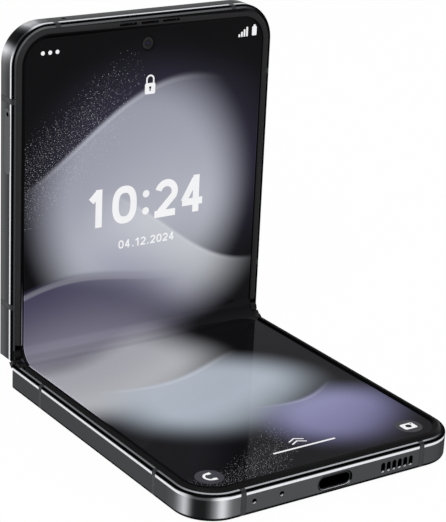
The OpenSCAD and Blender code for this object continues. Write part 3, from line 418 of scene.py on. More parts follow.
def plain_plastic(name, dark, light, roughness, specular=0.3, size=0.15):
    """Moulded plastic or foil with a fine grain between two near colours."""
    material, tree = new_material(name)
    grain = use(tree, GRAIN, {"Size": size, "Stretch": EVEN})
    sockets = {
        "Base Color": mixed(tree, grain["Tone"], dark, light),
        "Roughness": roughness,
        "Specular IOR Level": specular,
    }
    close_material(tree, sockets, grain["Height"], 0.000004)
    return material


def board_material():
    """Green solder mask with a faint net of copper tracks under it."""
    material, tree = new_material("board_mask")
    place = add(tree, "TexCoord").outputs["Object"]
    cells = add(tree, "TexVoronoi", {"Vector": place, "Scale": 420.0}, distance="MANHATTAN")
    track = ramp(tree, cells.outputs["Distance"], 0.3, 0.45)
    colour = mixed(tree, track, srgb(16, 52, 34), srgb(28, 78, 50))
    close_material(tree, {"Base Color": colour, "Roughness": 0.4}, track, 0.00001)
    return material


def coil_material():
    """Flat wound copper: fine rings about the coil's middle."""
    low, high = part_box("charging_coil")
    material, tree = new_material("wound_copper")
    place = add(tree, "TexCoord").outputs["Object"]
    offset = add(tree, "VectorMath", {0: place, 1: (low + high)/2}, operation="SUBTRACT").outputs[0]
    reach = add(tree, "VectorMath", {0: offset}, operation="LENGTH").outputs["Value"]
    rings = calc(tree, "SINE", calc(tree, "MULTIPLY", reach, 2*math.pi/0.0006))
    colour = mixed(tree, ramp(tree, rings, -0.6, 0.6), srgb(118, 62, 34), srgb(206, 130, 84))
    close_material(tree, {"Base Color": colour, "Metallic": 1.0, "Roughness": 0.35}, rings, 0.00004)
    return material


black_moulding = plain_plastic("black_moulding", srgb(14, 14, 15), srgb(24, 24, 25), 0.5)
dress(board_material(), "main_board", "sub_board")
dress(coil_material(), "charging_coil")
dress(plain_plastic("cell_foil", srgb(38, 40, 44), srgb(60, 62, 68), 0.3, 0.5, 0.6),
      "lower_battery", "upper_battery")
dress(plain_metal("stamped_plate", srgb(150, 153, 158), 0.4, ALONG_X),
      "lower_display_plate", "upper_display_plate", "shield_cans", "sim_reader")
dress(plain_metal("small_steel", srgb(168, 170, 174), 0.3, EVEN, 0.08), "lower_magnets",
      "upper_magnets", "lower_microphones", "upper_microphone", "vibration_motor")
dress(black_moulding, "speaker_module", "camera_modules", "key_flex", "earpiece", "cover_display")

# Hinge
# Arms with toothed sectors, timing gears and brackets are milled from steel and run against
# each other inside the spine; small screws hold arms and brackets down.

dress(plain_metal("machined_steel", srgb(176, 178, 182), 0.32, ALONG_X),
      "lower_hinge_arms", "upper_hinge_arms", "hinge_brackets")
dress(plain_metal("gear_steel", srgb(190, 188, 182), 0.24, ALONG_X),
      "timing_gear_1", "timing_gear_2", "timing_gear_3", "timing_gear_4")
dress(plain_metal("screw_steel", srgb(96, 97, 100), 0.3, EVEN, 0.05),
      "lower_hinge_screws", "upper_hinge_screws", "hinge_bracket_screws")

# Screen
# A flexible glossy laminate that runs over both halves. A rigid stretch is glued into each
# half and the strip between them bends with the hinge; here the strip is built as two arcs at rest.

SCREEN_TOP = 6.7
BEND_START = 4.9
STRIP_T = 0.4
STRIP_HALF_W = 33.4
PICTURE_HALF_W = 32.6
PICTURE_END = 79.2
PICTURE_CORNER = 6.0
SPILT_LIGHT = 1.9
STRIP_STEPS = 16
CAMERA_RING_R = 1.95
EDGE_SOFT = 0.06
# How much weaker the lit screen is in what mirrors show of it
SCREEN_MIRRORED = 0.4
SIGN_MIRRORED = 0.73


def flat_distance(tree, x, y):
    squares = calc(tree, "ADD", calc(tree, "MULTIPLY", x, x), calc(tree, "MULTIPLY", y, y))
    return calc(tree, "SQRT", squares)


def middle_of(node):
    """The middle of a node's box at rest, in mm."""
    low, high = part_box(node)
    return (low + high)/2/MM


def scaled(tree, colour, factor):
    return add(tree, "VectorMath", {0: colour, "Scale": factor}, operation="SCALE").outputs[0]


def wave_depth(tree, across, along, edge):
    """How far a place lies under a wave's crest. edge: height, tilt, swell, length and shift."""
    height, tilt, swell, length, shift = edge
    wave = calc(tree, "SINE", calc(tree, "MULTIPLY_ADD", across, 2*math.pi/length, shift))
    crest = calc(tree, "MULTIPLY_ADD", wave, swell, calc(tree, "MULTIPLY_ADD", across, tilt, height))
    return calc(tree, "SUBTRACT", crest, along)


def wave_sheet(tree, across, along, colour, edge, soft, glow, tones, strength):
    """Lays a lit sheet with a wavy crest over colour.

    soft gives how crisp the crest is and how deep the sheet reaches, glow the middle, the
    half width and height and the even share of its light.
    """
    crisp, fade = soft
    depth = wave_depth(tree, across, along, edge)
    mask = calc(tree, "MULTIPLY", ramp(tree, depth, -crisp, crisp),
                ramp(tree, depth, 0.4*fade, fade, 1.0, 0.0))
    middle_x, middle_y, half_width, half_height, even = glow
    x = calc(tree, "DIVIDE", calc(tree, "SUBTRACT", across, middle_x), half_width)
    y = calc(tree, "DIVIDE", calc(tree, "SUBTRACT", along, middle_y), half_height)
    reach = flat_distance(tree, x, y)
    lit = calc(tree, "MULTIPLY", ramp(tree, reach, even, 1.0, strength, 0.0), mask)
    tone = mixed(tree, ramp(tree, depth, 0.0, 0.7*fade), *tones)
    if crisp < 2:
        rim = calc(tree, "MULTIPLY", band(tree, depth, 0.5*crisp, 1.2*crisp, 0.6*crisp), 0.15)
        tone = mixed(tree, rim, tone, srgb(236, 238, 244))
    return mixed(tree, lit, colour, tone)


def dust_dots(tree, across, along, density):
    """Fine bright dots, as many as density says, each with its own size and brightness."""
    place = add(tree, "CombineXYZ", {0: across, 1: along}).outputs[0]
    cells = add(tree, "TexVoronoi", {"Vector": place, "Scale": 2.5}, voronoi_dimensions="2D")
    chance = add(tree, "SeparateColor", {0: cells.outputs["Color"]}).outputs
    radius = calc(tree, "MULTIPLY_ADD", chance[0], 0.2, 0.16)
    dot = ramp(tree, cells.outputs["Distance"], 0.0, radius, 1.0, 0.0)
    shown = ramp(tree, calc(tree, "SUBTRACT", density, chance[1]), 0.0, 0.06)
    light = calc(tree, "MULTIPLY_ADD", calc(tree, "POWER", chance[2], 2.6), 0.86, 0.14)
    return calc(tree, "MULTIPLY", calc(tree, "MULTIPLY", dot, shown), light)


def crease_highlight_and_shade(tree, along):
    """The bend's crease: a painted highlight stripe and two painted shade stripes across the screen."""
    shade = calc(tree, "MULTIPLY_ADD", band(tree, along, 1.4, 3.2, 1.2), 0.11, 1.0)
    for stripe, depth in ((-0.4, -0.07), (-3.4, -0.1)):
        dark = band(tree, along, stripe - 0.5, stripe + 0.5, 0.9)
        shade = calc(tree, "MULTIPLY_ADD", dark, depth, shade)
    return shade


def with_camera_ring(tree, across, along, colour):
    """Lays a black ring round the hole of the front camera over colour."""
    camera = middle_of("front_camera_lens")
    from_x = calc(tree, "SUBTRACT", across, camera.x)
    from_y = calc(tree, "SUBTRACT", along, camera.z - fold_height)
    reach = flat_distance(tree, from_x, from_y)
    ring = mixed(tree, ramp(tree, reach, CAMERA_RING_R - 0.3, CAMERA_RING_R - 0.16),
                 srgb(15, 15, 16), srgb(4, 4, 5))
    return mixed(tree, ramp(tree, reach, CAMERA_RING_R - EDGE_SOFT, CAMERA_RING_R + EDGE_SOFT), ring, colour)


def with_border(tree, across, along, colour):
    """Lays the black border, round at its corners, over colour, with light spilt on its edge."""
    wide = calc(tree, "ABSOLUTE", across)
    far = calc(tree, "ABSOLUTE", along)
    out_x = calc(tree, "MAXIMUM", calc(tree, "SUBTRACT", wide, PICTURE_HALF_W - PICTURE_CORNER), 0.0)
    out_y = calc(tree, "MAXIMUM", calc(tree, "SUBTRACT", far, PICTURE_END - PICTURE_CORNER), 0.0)
    reach = flat_distance(tree, out_x, out_y)
    border = ramp(tree, reach, PICTURE_CORNER - EDGE_SOFT, PICTURE_CORNER + EDGE_SOFT)
    spill = calc(tree, "MULTIPLY", ramp(tree, reach, PICTURE_CORNER, PICTURE_CORNER + 0.08),
                 ramp(tree, reach, PICTURE_CORNER + 0.16, PICTURE_CORNER + 0.24, 1.0, 0.0))
    black = mixed(tree, border, colour, srgb(7, 7, 8))
    return mixed(tree, spill, black, scaled(tree, colour, SPILT_LIGHT))


def picture_group():
    """The picture on the screen: overlapping lit waves from pale grey to violet, and fine dust."""
    group, given, result = new_group("screen_picture", {"Across": "Float", "Along": "Float"},
                                     {"Colour": "Color"})
    across, along = given["Across"], given["Along"]
    main_crest = (57.0, 0.22, 8.0, 96.0, 1.2)
    # The waves from the top of the screen to its foot, each over the ones before it
    waves = [
        dict(edge=(71.0, 0.1, 4.0, 80.0, 2.2), soft=(7.0, 80.0), glow=(4.0, 44.0, 42.0, 38.0, 0.3),
             tones=(srgb(50, 48, 64), srgb(60, 58, 80)), strength=0.95),
        dict(edge=main_crest, soft=(0.9, 70.0), glow=(-1.0, 38.0, 34.0, 38.0, 0.55),
             tones=(srgb(154, 156, 170), srgb(188, 191, 201)), strength=0.97),
        dict(edge=(31.0, -0.28, 6.0, 78.0, 2.6), soft=(0.7, 34.0), glow=(6.0, 22.0, 31.0, 24.0, 0.35),
             tones=(srgb(204, 207, 213), srgb(152, 152, 174)), strength=0.7),
        dict(edge=(19.0, 0.18, 5.0, 90.0, 3.4), soft=(1.1, 40.0), glow=(-24.0, 4.0, 42.0, 26.0, 0.45),
             tones=(srgb(70, 66, 90), srgb(140, 138, 152)), strength=0.95),
        dict(edge=(0.0, 0.2, 4.0, 70.0, 0.6), soft=(5.0, 44.0), glow=(-22.0, -16.0, 40.0, 30.0, 0.5),
             tones=(srgb(162, 162, 170), srgb(184, 186, 190)), strength=0.95),
        dict(edge=(-22.0, 0.05, 5.0, 74.0, 5.6), soft=(1.1, 40.0), glow=(-2.0, -40.0, 33.0, 27.0, 0.45),
             tones=(srgb(174, 182, 194), srgb(178, 188, 200)), strength=0.9),
        dict(edge=(-50.0, 0.25, 4.0, 50.0, 2.8), soft=(0.8, 36.0), glow=(17.0, -62.0, 24.0, 20.0, 0.35),
             tones=(srgb(142, 142, 180), srgb(116, 114, 152)), strength=0.95),
    ]
    colour = mixed(group, ramp(group, along, 80.0, 10.0), srgb(9, 9, 10), srgb(12, 11, 14))
    for wave in waves:
        colour = wave_sheet(group, across, along, colour, **wave)
    over_crest = wave_depth(group, across, along, main_crest)
    upper_dust = calc(group, "MULTIPLY", band(group, over_crest, -4.0, 2.0, 12.0),
                      band(group, across, -34.0, -18.0, 20.0))
    over_foot = wave_depth(group, across, along, (-66.0, 0.45, 3.0, 52.0, 0.8))
    lower_dust = calc(group, "MULTIPLY", band(group, over_foot, -1.5, 1.5, 8.0),
                      band(group, across, -31.0, -12.0, 18.0))
    density = calc(group, "MULTIPLY", calc(group, "ADD", upper_dust, lower_dust), 1.05)
    dust = dust_dots(group, across, along, density)
    colour = mixed(group, dust, colour, srgb(226, 227, 234))
    colour = scaled(group, colour, crease_highlight_and_shade(group, along))
    colour = with_camera_ring(group, across, along, colour)
    group.links.new(with_border(group, across, along, colour), result["Colour"])
    return group


PICTURE = picture_group()


def forward_glow(tree, colour, share):
    """Light of a lit screen: it shines forward, so what mirrors show of it is weaker by share."""
    mirrored = add(tree, "LightPath").outputs["Is Glossy Ray"]
    return scaled(tree, colour, calc(tree, "MULTIPLY_ADD", mirrored, -share, 1.0))


def screen_gloss(tree, across, along, mirror):
    picture = use(tree, PICTURE, {"Across": across, "Along": along})
    close_material(tree, {
        "Base Color": srgb(5, 5, 6),
        "Roughness": 0.05,
        "Specular IOR Level": mirror,
        "Emission Color": forward_glow(tree, picture["Colour"], SCREEN_MIRRORED),
        "Emission Strength": 1.0,
    })


def rigid_screen(half):
    material, tree = new_material(half + "_screen_gloss")
    place = use(tree, PLACE[half])
    along = place["Along"] if half == "upper" else calc(tree, "MULTIPLY", place["Along"], -1.0)
    screen_gloss(tree, place["Across"], along, 0.03 if half == "upper" else 0.055)
    return material


def strip_screen():
    """The bending strip carries its flat place in its texture coordinates, in units of 0.1 m."""
    material, tree = new_material("strip_screen_gloss")
    flat = add(tree, "UVMap", uv_map="flat_place").outputs[0]
    u, v = add(tree, "SeparateXYZ", {0: flat}).outputs[:2]
    across = calc(tree, "MULTIPLY", calc(tree, "SUBTRACT", u, 0.5), 100.0)
    along = calc(tree, "MULTIPLY", calc(tree, "SUBTRACT", v, 0.5), 100.0)
    screen_gloss(tree, across, along, 0.045)
    return material


def arc_point(turn, reach=0.0, x=0.0):
    """A point of the bend, in mm: turn is 0 at the lower half and 1 at the upper one."""
    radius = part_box("upper_display")[0].z/MM - SCREEN_TOP
    angle = math.radians(90*turn - 90)
    return (x, fold_depth - BEND_START + (radius + reach)*math.cos(angle),
            SCREEN_TOP + radius + (radius + reach)*math.sin(angle))


def bending_strip(name, turns):
    """Half of the strip: a solid arc between two turns, 0 at the lower half and 1 at the upper."""
    verts = []
    faces = []
    flats = []
    for step in range(STRIP_STEPS + 1):
        turn = turns[0] + (turns[1] - turns[0])*step/STRIP_STEPS
        for side, reach in ((-1, 0), (1, 0), (1, STRIP_T), (-1, STRIP_T)):
            verts.append(Vector(arc_point(turn, reach, side*STRIP_HALF_W))*MM)
            flats.append((0.5 + side*STRIP_HALF_W/100, 0.5 + (2*turn - 1)*BEND_START/100))
    for step in range(STRIP_STEPS):
        for side in range(4):
            a, b = 4*step + side, 4*step + (side + 1) % 4
            faces.append((a, b, b + 4, a + 4))
    last = 4*STRIP_STEPS
    faces += [(3, 2, 1, 0), (last, last + 1, last + 2, last + 3)]
    mesh = bpy.data.meshes.new(name)
    mesh.from_pydata(verts, [], faces)
    layer = mesh.uv_layers.new(name="flat_place")
    for loop in mesh.loops:
        layer.data[loop.index].uv = flats[loop.vertex_index]
    strip = bpy.data.objects.new(name, mesh)
    bpy.context.scene.collection.objects.link(strip)
    return strip


dress(rigid_screen("lower"), "lower_display")
dress(rigid_screen("upper"), "upper_display")
strip_gloss = strip_screen()
for name, turns, bodies in (("screen_strip_lower", (0.0, 0.5), ("lower_half", "spine")),
                            ("screen_strip_upper", (0.5, 1.0), ("spine", "upper_half"))):
    strip = bending_strip(name, turns)
    strip.data.materials.append(strip_gloss)
    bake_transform(strip)
    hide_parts(name.replace("screen_strip", "display_fold"))

# Signs on the screen
# The lit numbers and small plain signs of a phone that is locked: thin lit shapes that lie
# on the laminate, as bright as the screen shows them.

SIGN_T = 0.02


def on_screen(half, x, y, lift):
    """The place of a point of the screen, y from the fold towards that half's end."""
    if half == "lower":
        return Vector((x, fold_depth - y, SCREEN_TOP + lift))*MM
    return Vector((x, back_plane - SCREEN_TOP - lift, fold_height + y))*MM


def lit_colour(name, colour, spread):
    """A lit sign, a little uneven as a screen's dots are."""
    material, tree = new_material(name)
    grain = use(tree, GRAIN, {"Size": 0.2, "Stretch": EVEN})
    dimmer = tuple(spread*share for share in colour[:3]) + (1.0,)
    close_material(tree, {
        "Base Color": srgb(8, 8, 9),
        "Roughness": 0.1,
        "Specular IOR Level": 0.06,
        "Emission Color": forward_glow(tree, mixed(tree, grain["Tone"], dimmer, colour), SIGN_MIRRORED),
        "Emission Strength": 1.0,
    })
    return material


def arc(x, y, radius_x, radius_y, start, end, steps=18):
    angles = [math.radians(start + (end - start)*i/steps) for i in range(steps + 1)]
    return [(x + radius_x*math.cos(a), y + radius_y*math.sin(a)) for a in angles]


def stroke_sides(path, width, closed):
    """Points on both sides of a path, half a width away, with mitred bends."""
    sides = []
    count = len(path)
    for i, point in enumerate(path):
        here = Vector(point)
        before = Vector(path[i - 1]) if i or closed else None
        after = Vector(path[(i + 1) % count]) if i < count - 1 or closed else None
        run_in = (here - before).normalized() if before is not None else (after - here).normalized()
        run_out = (after - here).normalized() if after is not None else run_in
        mid = (run_in + run_out).normalized()
        reach = width/2/max(mid.dot(run_in), 0.5)
        normal = Vector((-mid.y, mid.x))*reach
        sides.append((here + normal, here - normal))
    return sides


class Sign:
    """A thin solid sign on one half of the screen, made of strokes and filled outlines."""

    def __init__(self, name, half, lift=0.0):
        self.name = name
        self.half = half
        self.lift = lift
        self.verts = []
        self.faces = []

    def point(self, x, y, level):
        flip = -1 if self.half == "lower" else 1
        self.verts.append(on_screen(self.half, x, flip*y, self.lift + level*SIGN_T))
        return len(self.verts) - 1

    def stroke(self, path, width, closed=False):
        sides = stroke_sides(path, width, closed)
        rings = []
        for left, right in sides:
            rings.append([self.point(*left, 0), self.point(*right, 0),
                          self.point(*right, 1), self.point(*left, 1)])
        spans = list(zip(rings, rings[1:]))
        if closed:
            spans.append((rings[-1], rings[0]))
        else:
            self.faces += [tuple(rings[0]), tuple(reversed(rings[-1]))]
        for here, after in spans:
            for k in range(4):
                self.faces.append((here[k], after[k], after[(k + 1) % 4], here[(k + 1) % 4]))

    def filled(self, outline):
        low = [self.point(x, y, 0) for x, y in outline]
        high = [self.point(x, y, 1) for x, y in outline]
        self.faces += [tuple(reversed(low)), tuple(high)]
        count = len(outline)
        for i in range(count):
            after = (i + 1) % count
            self.faces.append((low[i], low[after], high[after], high[i]))

    def finish(self, material):
        mesh = bpy.data.meshes.new(self.name)
        mesh.from_pydata(self.verts, [], self.faces)
        mesh.materials.append(material)
        sign = bpy.data.objects.new(self.name, mesh)
        bpy.context.scene.collection.objects.link(sign)
        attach(sign, self.half + "_half")
        return sign


def disc(x, y, radius, steps=32):
    return arc(x, y, radius, radius, 0, 360 - 360/steps, steps - 1)


def rounded_block(x, y, width, height, radius):
    outline = []
    for centre_x, centre_y, start in ((1, 1, 0), (-1, 1, 90), (-1, -1, 180), (1, -1, 270)):
        outline += arc(x + centre_x*(width/2 - radius), y + centre_y*(height/2 - radius),
                       radius, radius, start, start + 90, 5)
    return outline


def draw_figure(sign, figure, x, y, width, height, weight):
    """Draws one figure in a box whose lower left corner is x, y."""
    def at(u, v):
        return (x + weight/2 + u*(width - weight), y + weight/2 + v*(height - weight))
    radius_x, radius_y = (width - weight)/2, height - weight
    if figure == "0":
        centre = at(0.5, 0.5)
        ring = []
        for a in range(0, 360, 10):
            c, s = math.cos(math.radians(a)), math.sin(math.radians(a))
            ring.append((centre[0] + radius_x*math.copysign(abs(c)**0.8, c),
                         centre[1] + radius_y/2*math.copysign(abs(s)**0.8, s)))
        sign.stroke(ring, weight, closed=True)
    elif figure == "1":
        sign.stroke([at(0.62, -weight/2/radius_y), at(0.62, 1 + weight/2/radius_y)], weight)
        sign.stroke([at(0.02, 0.76), at(0.56, 1.0)], weight)
    elif figure == "2":
        centre = at(0.5, 0.7)
        bow = arc(centre[0], centre[1], radius_x, 0.3*radius_y, 165, -28)
        sign.stroke(bow + [at(0.1, 0.05)], weight)
        sign.stroke([at(-weight/4/radius_x, 0), at(1.06, 0)], weight)
    elif figure == "4":
        sign.stroke([at(0.66, 1.0), at(0.02, 0.27)], weight)
        sign.stroke([at(-0.06, 0.24), at(1.1, 0.24)], weight)
        sign.stroke([at(0.72, -weight/2/radius_y), at(0.72, 1 + weight/2/radius_y)], weight)


white_light = lit_colour("white_light", srgb(250, 250, 252), 0.86)
disc_light = lit_colour("disc_light", srgb(66, 66, 72), 0.8)
dark_light = lit_colour("dark_light", srgb(24, 24, 28), 0.8)

CLOCK_Y = 31.4
CLOCK_H = 9.6
CLOCK_WEIGHT = 1.8
# Each figure of the clock, where it starts across, and its width
CLOCK = [("1", -15.8, 5.4), ("0", -8.9, 6.9), ("2", 3.2, 6.6), ("4", 10.6, 6.9)]
COLON_X = 0.6
clock = Sign("clock_numbers", "upper")
for figure, x, width in CLOCK:
    draw_figure(clock, figure, x, CLOCK_Y, width, CLOCK_H, CLOCK_WEIGHT)
for y in (CLOCK_Y + 2.3, CLOCK_Y + 6.7):
    clock.filled(disc(COLON_X, y, 0.95, 20))
clock.finish(white_light)

DATE_Y = 25.0
DATE_H = 2.1
DATE_WIDTH = 1.5
DATE_WEIGHT = 0.35
date = Sign("date_numbers", "upper")
for figure, x in (("0", -6.9), ("4", -5.1), ("1", -2.2), ("2", -0.6), ("2", 2.2), ("0", 4.0),
                  ("2", 5.8), ("4", 7.6)):
    draw_figure(date, figure, x, DATE_Y, DATE_WIDTH, DATE_H, DATE_WEIGHT)
for x in (-2.75, 1.55):
    date.filled(disc(x, DATE_Y + 0.2, 0.2, 12))
date.finish(white_light)

LOCK = (0.8, 65.1)
padlock = Sign("padlock_sign", "upper")
padlock.filled(rounded_block(LOCK[0], LOCK[1] - 0.6, 2.9, 2.7, 0.45))
padlock.stroke([(LOCK[0] - 0.95, LOCK[1] + 0.6)] + arc(LOCK[0], LOCK[1] + 1.65, 0.95, 0.95, 180, 0)
               + [(LOCK[0] + 0.95, LOCK[1] + 0.6)], 0.4)
padlock.finish(white_light)
keyhole = Sign("padlock_keyhole", "upper", SIGN_T)
keyhole.filled(disc(LOCK[0], LOCK[1] - 0.35, 0.32, 16))
keyhole.stroke([(LOCK[0], LOCK[1] - 0.5), (LOCK[0], LOCK[1] - 1.2)], 0.3)
keyhole.finish(dark_light)

# Bars of signal, a battery and three dots, each from its own place
BARS = (26.0, 74.6)
BATTERY = (30.4, 75.8)
DOTS = (-28.4, 76.0)
status = Sign("status_signs", "upper")
for step in range(4):
    height = 0.7 + 0.55*step
    status.filled(rounded_block(BARS[0] + 0.75*step, BARS[1] + height/2, 0.5, height, 0.1))
status.filled(rounded_block(*BATTERY, 1.35, 2.3, 0.3))
status.filled(rounded_block(BATTERY[0], BATTERY[1] + 1.3, 0.6, 0.5, 0.1))
for step in range(3):
    status.filled(disc(DOTS[0] + 1.9*step, DOTS[1], 0.5, 16))
status.finish(white_light)

# Two dim discs to touch, a handset on one and a camera on the other
CALL = (-27.6, -74.2)
SHOT = (26.6, -74.6)
TOUCH_R = 3.2
discs = Sign("touch_discs", "lower")
for x, y in (CALL, SHOT):
    discs.filled(disc(x, y, TOUCH_R, 48))
discs.finish(disc_light)

# The handset is a bow with a short thick stroke at each end
HANDSET = (CALL[0] + 0.3, CALL[1])
HANDSET_R = 1.45
HANDSET_ENDS = (95, 265)
touch = Sign("touch_signs", "lower", SIGN_T)
touch.stroke(arc(*HANDSET, HANDSET_R, HANDSET_R, *HANDSET_ENDS, 12), 0.55)
for angle, side in zip(HANDSET_ENDS, (-1, 1)):
    out = Vector((math.cos(math.radians(angle)), math.sin(math.radians(angle))))
    on = Vector((-out.y, out.x))*side
    foot = Vector(HANDSET) + out*(HANDSET_R - 0.12)
    touch.stroke([tuple(foot - on*0.1), tuple(foot + on*0.95)], 0.85)
touch.filled(rounded_block(*SHOT, 3.6, 2.7, 0.5))

# Two chevrons over a bar say where to swipe
SWIPE_X = -0.6
for y in (-67.4, -68.7):
    touch.stroke([(SWIPE_X - 2.0, y - 1.1), (SWIPE_X, y), (SWIPE_X + 2.0, y - 1.1)], 0.34)
touch.filled(rounded_block(SWIPE_X, -71.6, 17.0, 0.55, 0.26))
touch.finish(white_light)
lens_dots = Sign("shot_sign_lens", "lower", 2*SIGN_T)
lens_dots.filled(disc(*SHOT, 0.75, 24))
lens_dots.filled(disc(SHOT[0] + 1.15, SHOT[1] + 0.75, 0.22, 12))
lens_dots.finish(dark_light)

# Bezels and hinge end caps
# Black soft-touch plastic, moulded and glued over the screen's border; the caps beside the
# bending strip are the same plastic over the hinge's end links.

CROWN_X = 33.62


def edge_distance_group():
    """How far inside the phone's rounded outline a place lies, in mm."""
    group, given, result = new_group("edge_distance", {"Across": "Float", "Along": "Float"},
                                     {"Inside": "Float"})
    wide = calc(group, "ABSOLUTE", given["Across"])
    x = calc(group, "MAXIMUM", calc(group, "SUBTRACT", wide, HALF_W - CORNER_R), 0.0)
    y = calc(group, "MAXIMUM", calc(group, "SUBTRACT", given["Along"], HALF_L - CORNER_R), 0.0)
    reach = flat_distance(group, x, y)
    group.links.new(calc(group, "SUBTRACT", CORNER_R, reach), result["Inside"])
    return group


EDGE_DISTANCE = edge_distance_group()


def bezel_plastic(half, level, first, last, breadth, lit_length, lit_strength):
    """Satin black, with a lighter painted highlight of the given breadth and level along its top,
    between black slopes.

    first and last are the painted highlight's middle's distance from the left and from the right
    edge. Where the picture beside it is bright, lit_length from the fold, the left crown carries a
    painted reflection of its light.
    """
    material, tree = new_material(half + "_bezel_plastic")
    place = use(tree, PLACE[half])
    grain = use(tree, GRAIN, {"Size": 0.1, "Stretch": EVEN})
    inside = use(tree, EDGE_DISTANCE, {"Across": place["Across"], "Along": place["Along"]})["Inside"]
    # The painted highlight's middle moves from first on the left to last on the right
    middle = calc(tree, "MULTIPLY_ADD", place["Across"], (last - first)/2/CROWN_X, (first + last)/2)
    off = calc(tree, "ABSOLUTE", calc(tree, "SUBTRACT", inside, middle))
    top_highlight = ramp(tree, off, breadth/2, breadth/2 + 0.25, 1.0, 0.0)
    darker = srgb(level - 3, level - 3, level - 2)
    top = mixed(tree, grain["Tone"], darker, srgb(level + 2, level + 2, level + 3))
    colour = mixed(tree, top_highlight, srgb(3, 3, 4), top)
    # Painted reflection of the bright picture on the left crown
    crown = band(tree, calc(tree, "MULTIPLY", place["Across"], -1.0), CROWN_X - 0.1, CROWN_X + 0.1, 0.06)
    near_fold = ramp(tree, place["Along"], lit_length, lit_length + 14.0, lit_strength, 0.0)
    lit = calc(tree, "MULTIPLY", crown, near_fold)
    colour = mixed(tree, lit, colour, srgb(214, 213, 224))
    close_material(tree, {"Base Color": colour, "Roughness": 0.4, "Specular IOR Level": 0.03},
                   grain["Height"], 0.000001)
    return material


# The upper bezel's painted highlight is brighter than the lower one's, its painted crown reflection weaker
# and shorter
dress(bezel_plastic("lower", level=20, first=1.3, last=1.5, breadth=0.6,
                    lit_length=30.0, lit_strength=0.9), "lower_bezel")
dress(bezel_plastic("upper", level=42, first=1.35, last=2.3, breadth=0.9,
                    lit_length=8.0, lit_strength=0.3), "upper_bezel")
dress(plain_plastic("cap_black", srgb(10, 10, 11), srgb(16, 16, 17), 0.42, 0.12, 0.1), "hinge_end_caps")

# Front camera
# A moulded black barrel with a small coated lens pressed into its mouth. It is glued to the
# upper frame under the screen and looks out through a round hole in it.


def from_middle_group():
    """Distance from the middle of a lens, in mm, seen straight on."""
    group, given, result = new_group("from_middle", {"Middle X": "Float", "Middle Z": "Float"},
                                     {"Reach": "Float"})
    place = add(group, "TexCoord").outputs["Object"]
    x, y, z = add(group, "SeparateXYZ", {0: place}).outputs
    from_x = calc(group, "SUBTRACT", calc(group, "DIVIDE", x, MM), given["Middle X"])
    from_z = calc(group, "SUBTRACT", calc(group, "DIVIDE", z, MM), given["Middle Z"])
    group.links.new(flat_distance(group, from_x, from_z), result["Reach"])
    return group


FROM_MIDDLE = from_middle_group()


def lens_coating(name, middles, core, rings):
    """Dark coated glass with a tinted core and rings.

    middles are the x and z of the lenses' middles in mm, and rings give where each ring
    starts, in mm from the middle, and its colour.
    """
    material, tree = new_material(name)
    reach = 1000.0
    for middle_x, middle_z in middles:
        from_middle = use(tree, FROM_MIDDLE, {"Middle X": middle_x, "Middle Z": middle_z})["Reach"]
        reach = calc(tree, "MINIMUM", reach, from_middle)
    colour = mixed(tree, ramp(tree, reach, 0.0, rings[0][0]), core, srgb(4, 4, 6))
    for start, tone in rings:
        colour = mixed(tree, ramp(tree, reach, start - 0.04, start + 0.04), colour, tone)
    close_material(tree, {"Base Color": colour, "Roughness": 0.05, "Specular IOR Level": 0.12})
    return material


front_middle = middle_of("front_camera_lens")
dress(lens_coating("front_lens_coating", [(front_middle.x, front_middle.z)], srgb(34, 38, 84),
                   [(0.5, srgb(9, 9, 12)), (0.62, srgb(22, 22, 25))]), "front_camera_lens")
dress(plain_plastic("barrel_black", srgb(8, 8, 9), srgb(13, 13, 14), 0.4), "front_camera")

# Ports of the lower end
# The charging port is a drawn steel shell, soldered to the lower board and reaching into the
# frame's hole, with a black moulded tongue in it that carries the contacts.

dress(plain_metal("port_steel", srgb(44, 45, 47), 0.3, EVEN, 0.08), "usb_shell")
dress(plain_plastic("tongue_black", srgb(10, 10, 11), srgb(18, 18, 19), 0.45), "usb_tongue")

# Back glass
# Tempered glass, painted graphite inside, glued into both frames; the upper one is clear over
# a dark cover display, whose edge shows faintly, and has two ringed cameras and a flash.


def back_paint():
    material, tree = new_material("painted_glass")
    grain = use(tree, GRAIN, {"Size": 0.05, "Stretch": EVEN})
    colour = mixed(tree, grain["Tone"], srgb(50, 51, 54), srgb(58, 59, 62))
    close_material(tree, {"Base Color": colour, "Roughness": 0.32, "Specular IOR Level": 0.4,
                          "Coat Weight": 0.2, "Coat Roughness": 0.2}, grain["Height"], 0.000002)
    return material


def cover_glass_gloss():
    """Near black gloss. The lit area of the cover display is a little bluer than its border."""
    material, tree = new_material("cover_gloss")
    place = use(tree, PLACE["upper"])
    wide = calc(tree, "ABSOLUTE", place["Across"])
    inside = calc(tree, "MULTIPLY", ramp(tree, wide, HALF_W - 3.5, HALF_W - 3.3, 1.0, 0.0),
                  band(tree, place["Along"], 16.2, HALF_L - 4.2, 0.2))
    camera_area = calc(tree, "MULTIPLY", ramp(tree, place["Across"], -20.0, -19.6),
                       ramp(tree, place["Along"], 61.6, 62.0))
    inside = calc(tree, "MULTIPLY", inside, calc(tree, "SUBTRACT", 1.0, camera_area))
    colour = mixed(tree, inside, srgb(20, 20, 22), srgb(12, 12, 16))
    close_material(tree, {"Base Color": colour, "Roughness": 0.07, "Specular IOR Level": 0.5},
                   inside, 0.000003)
    return material


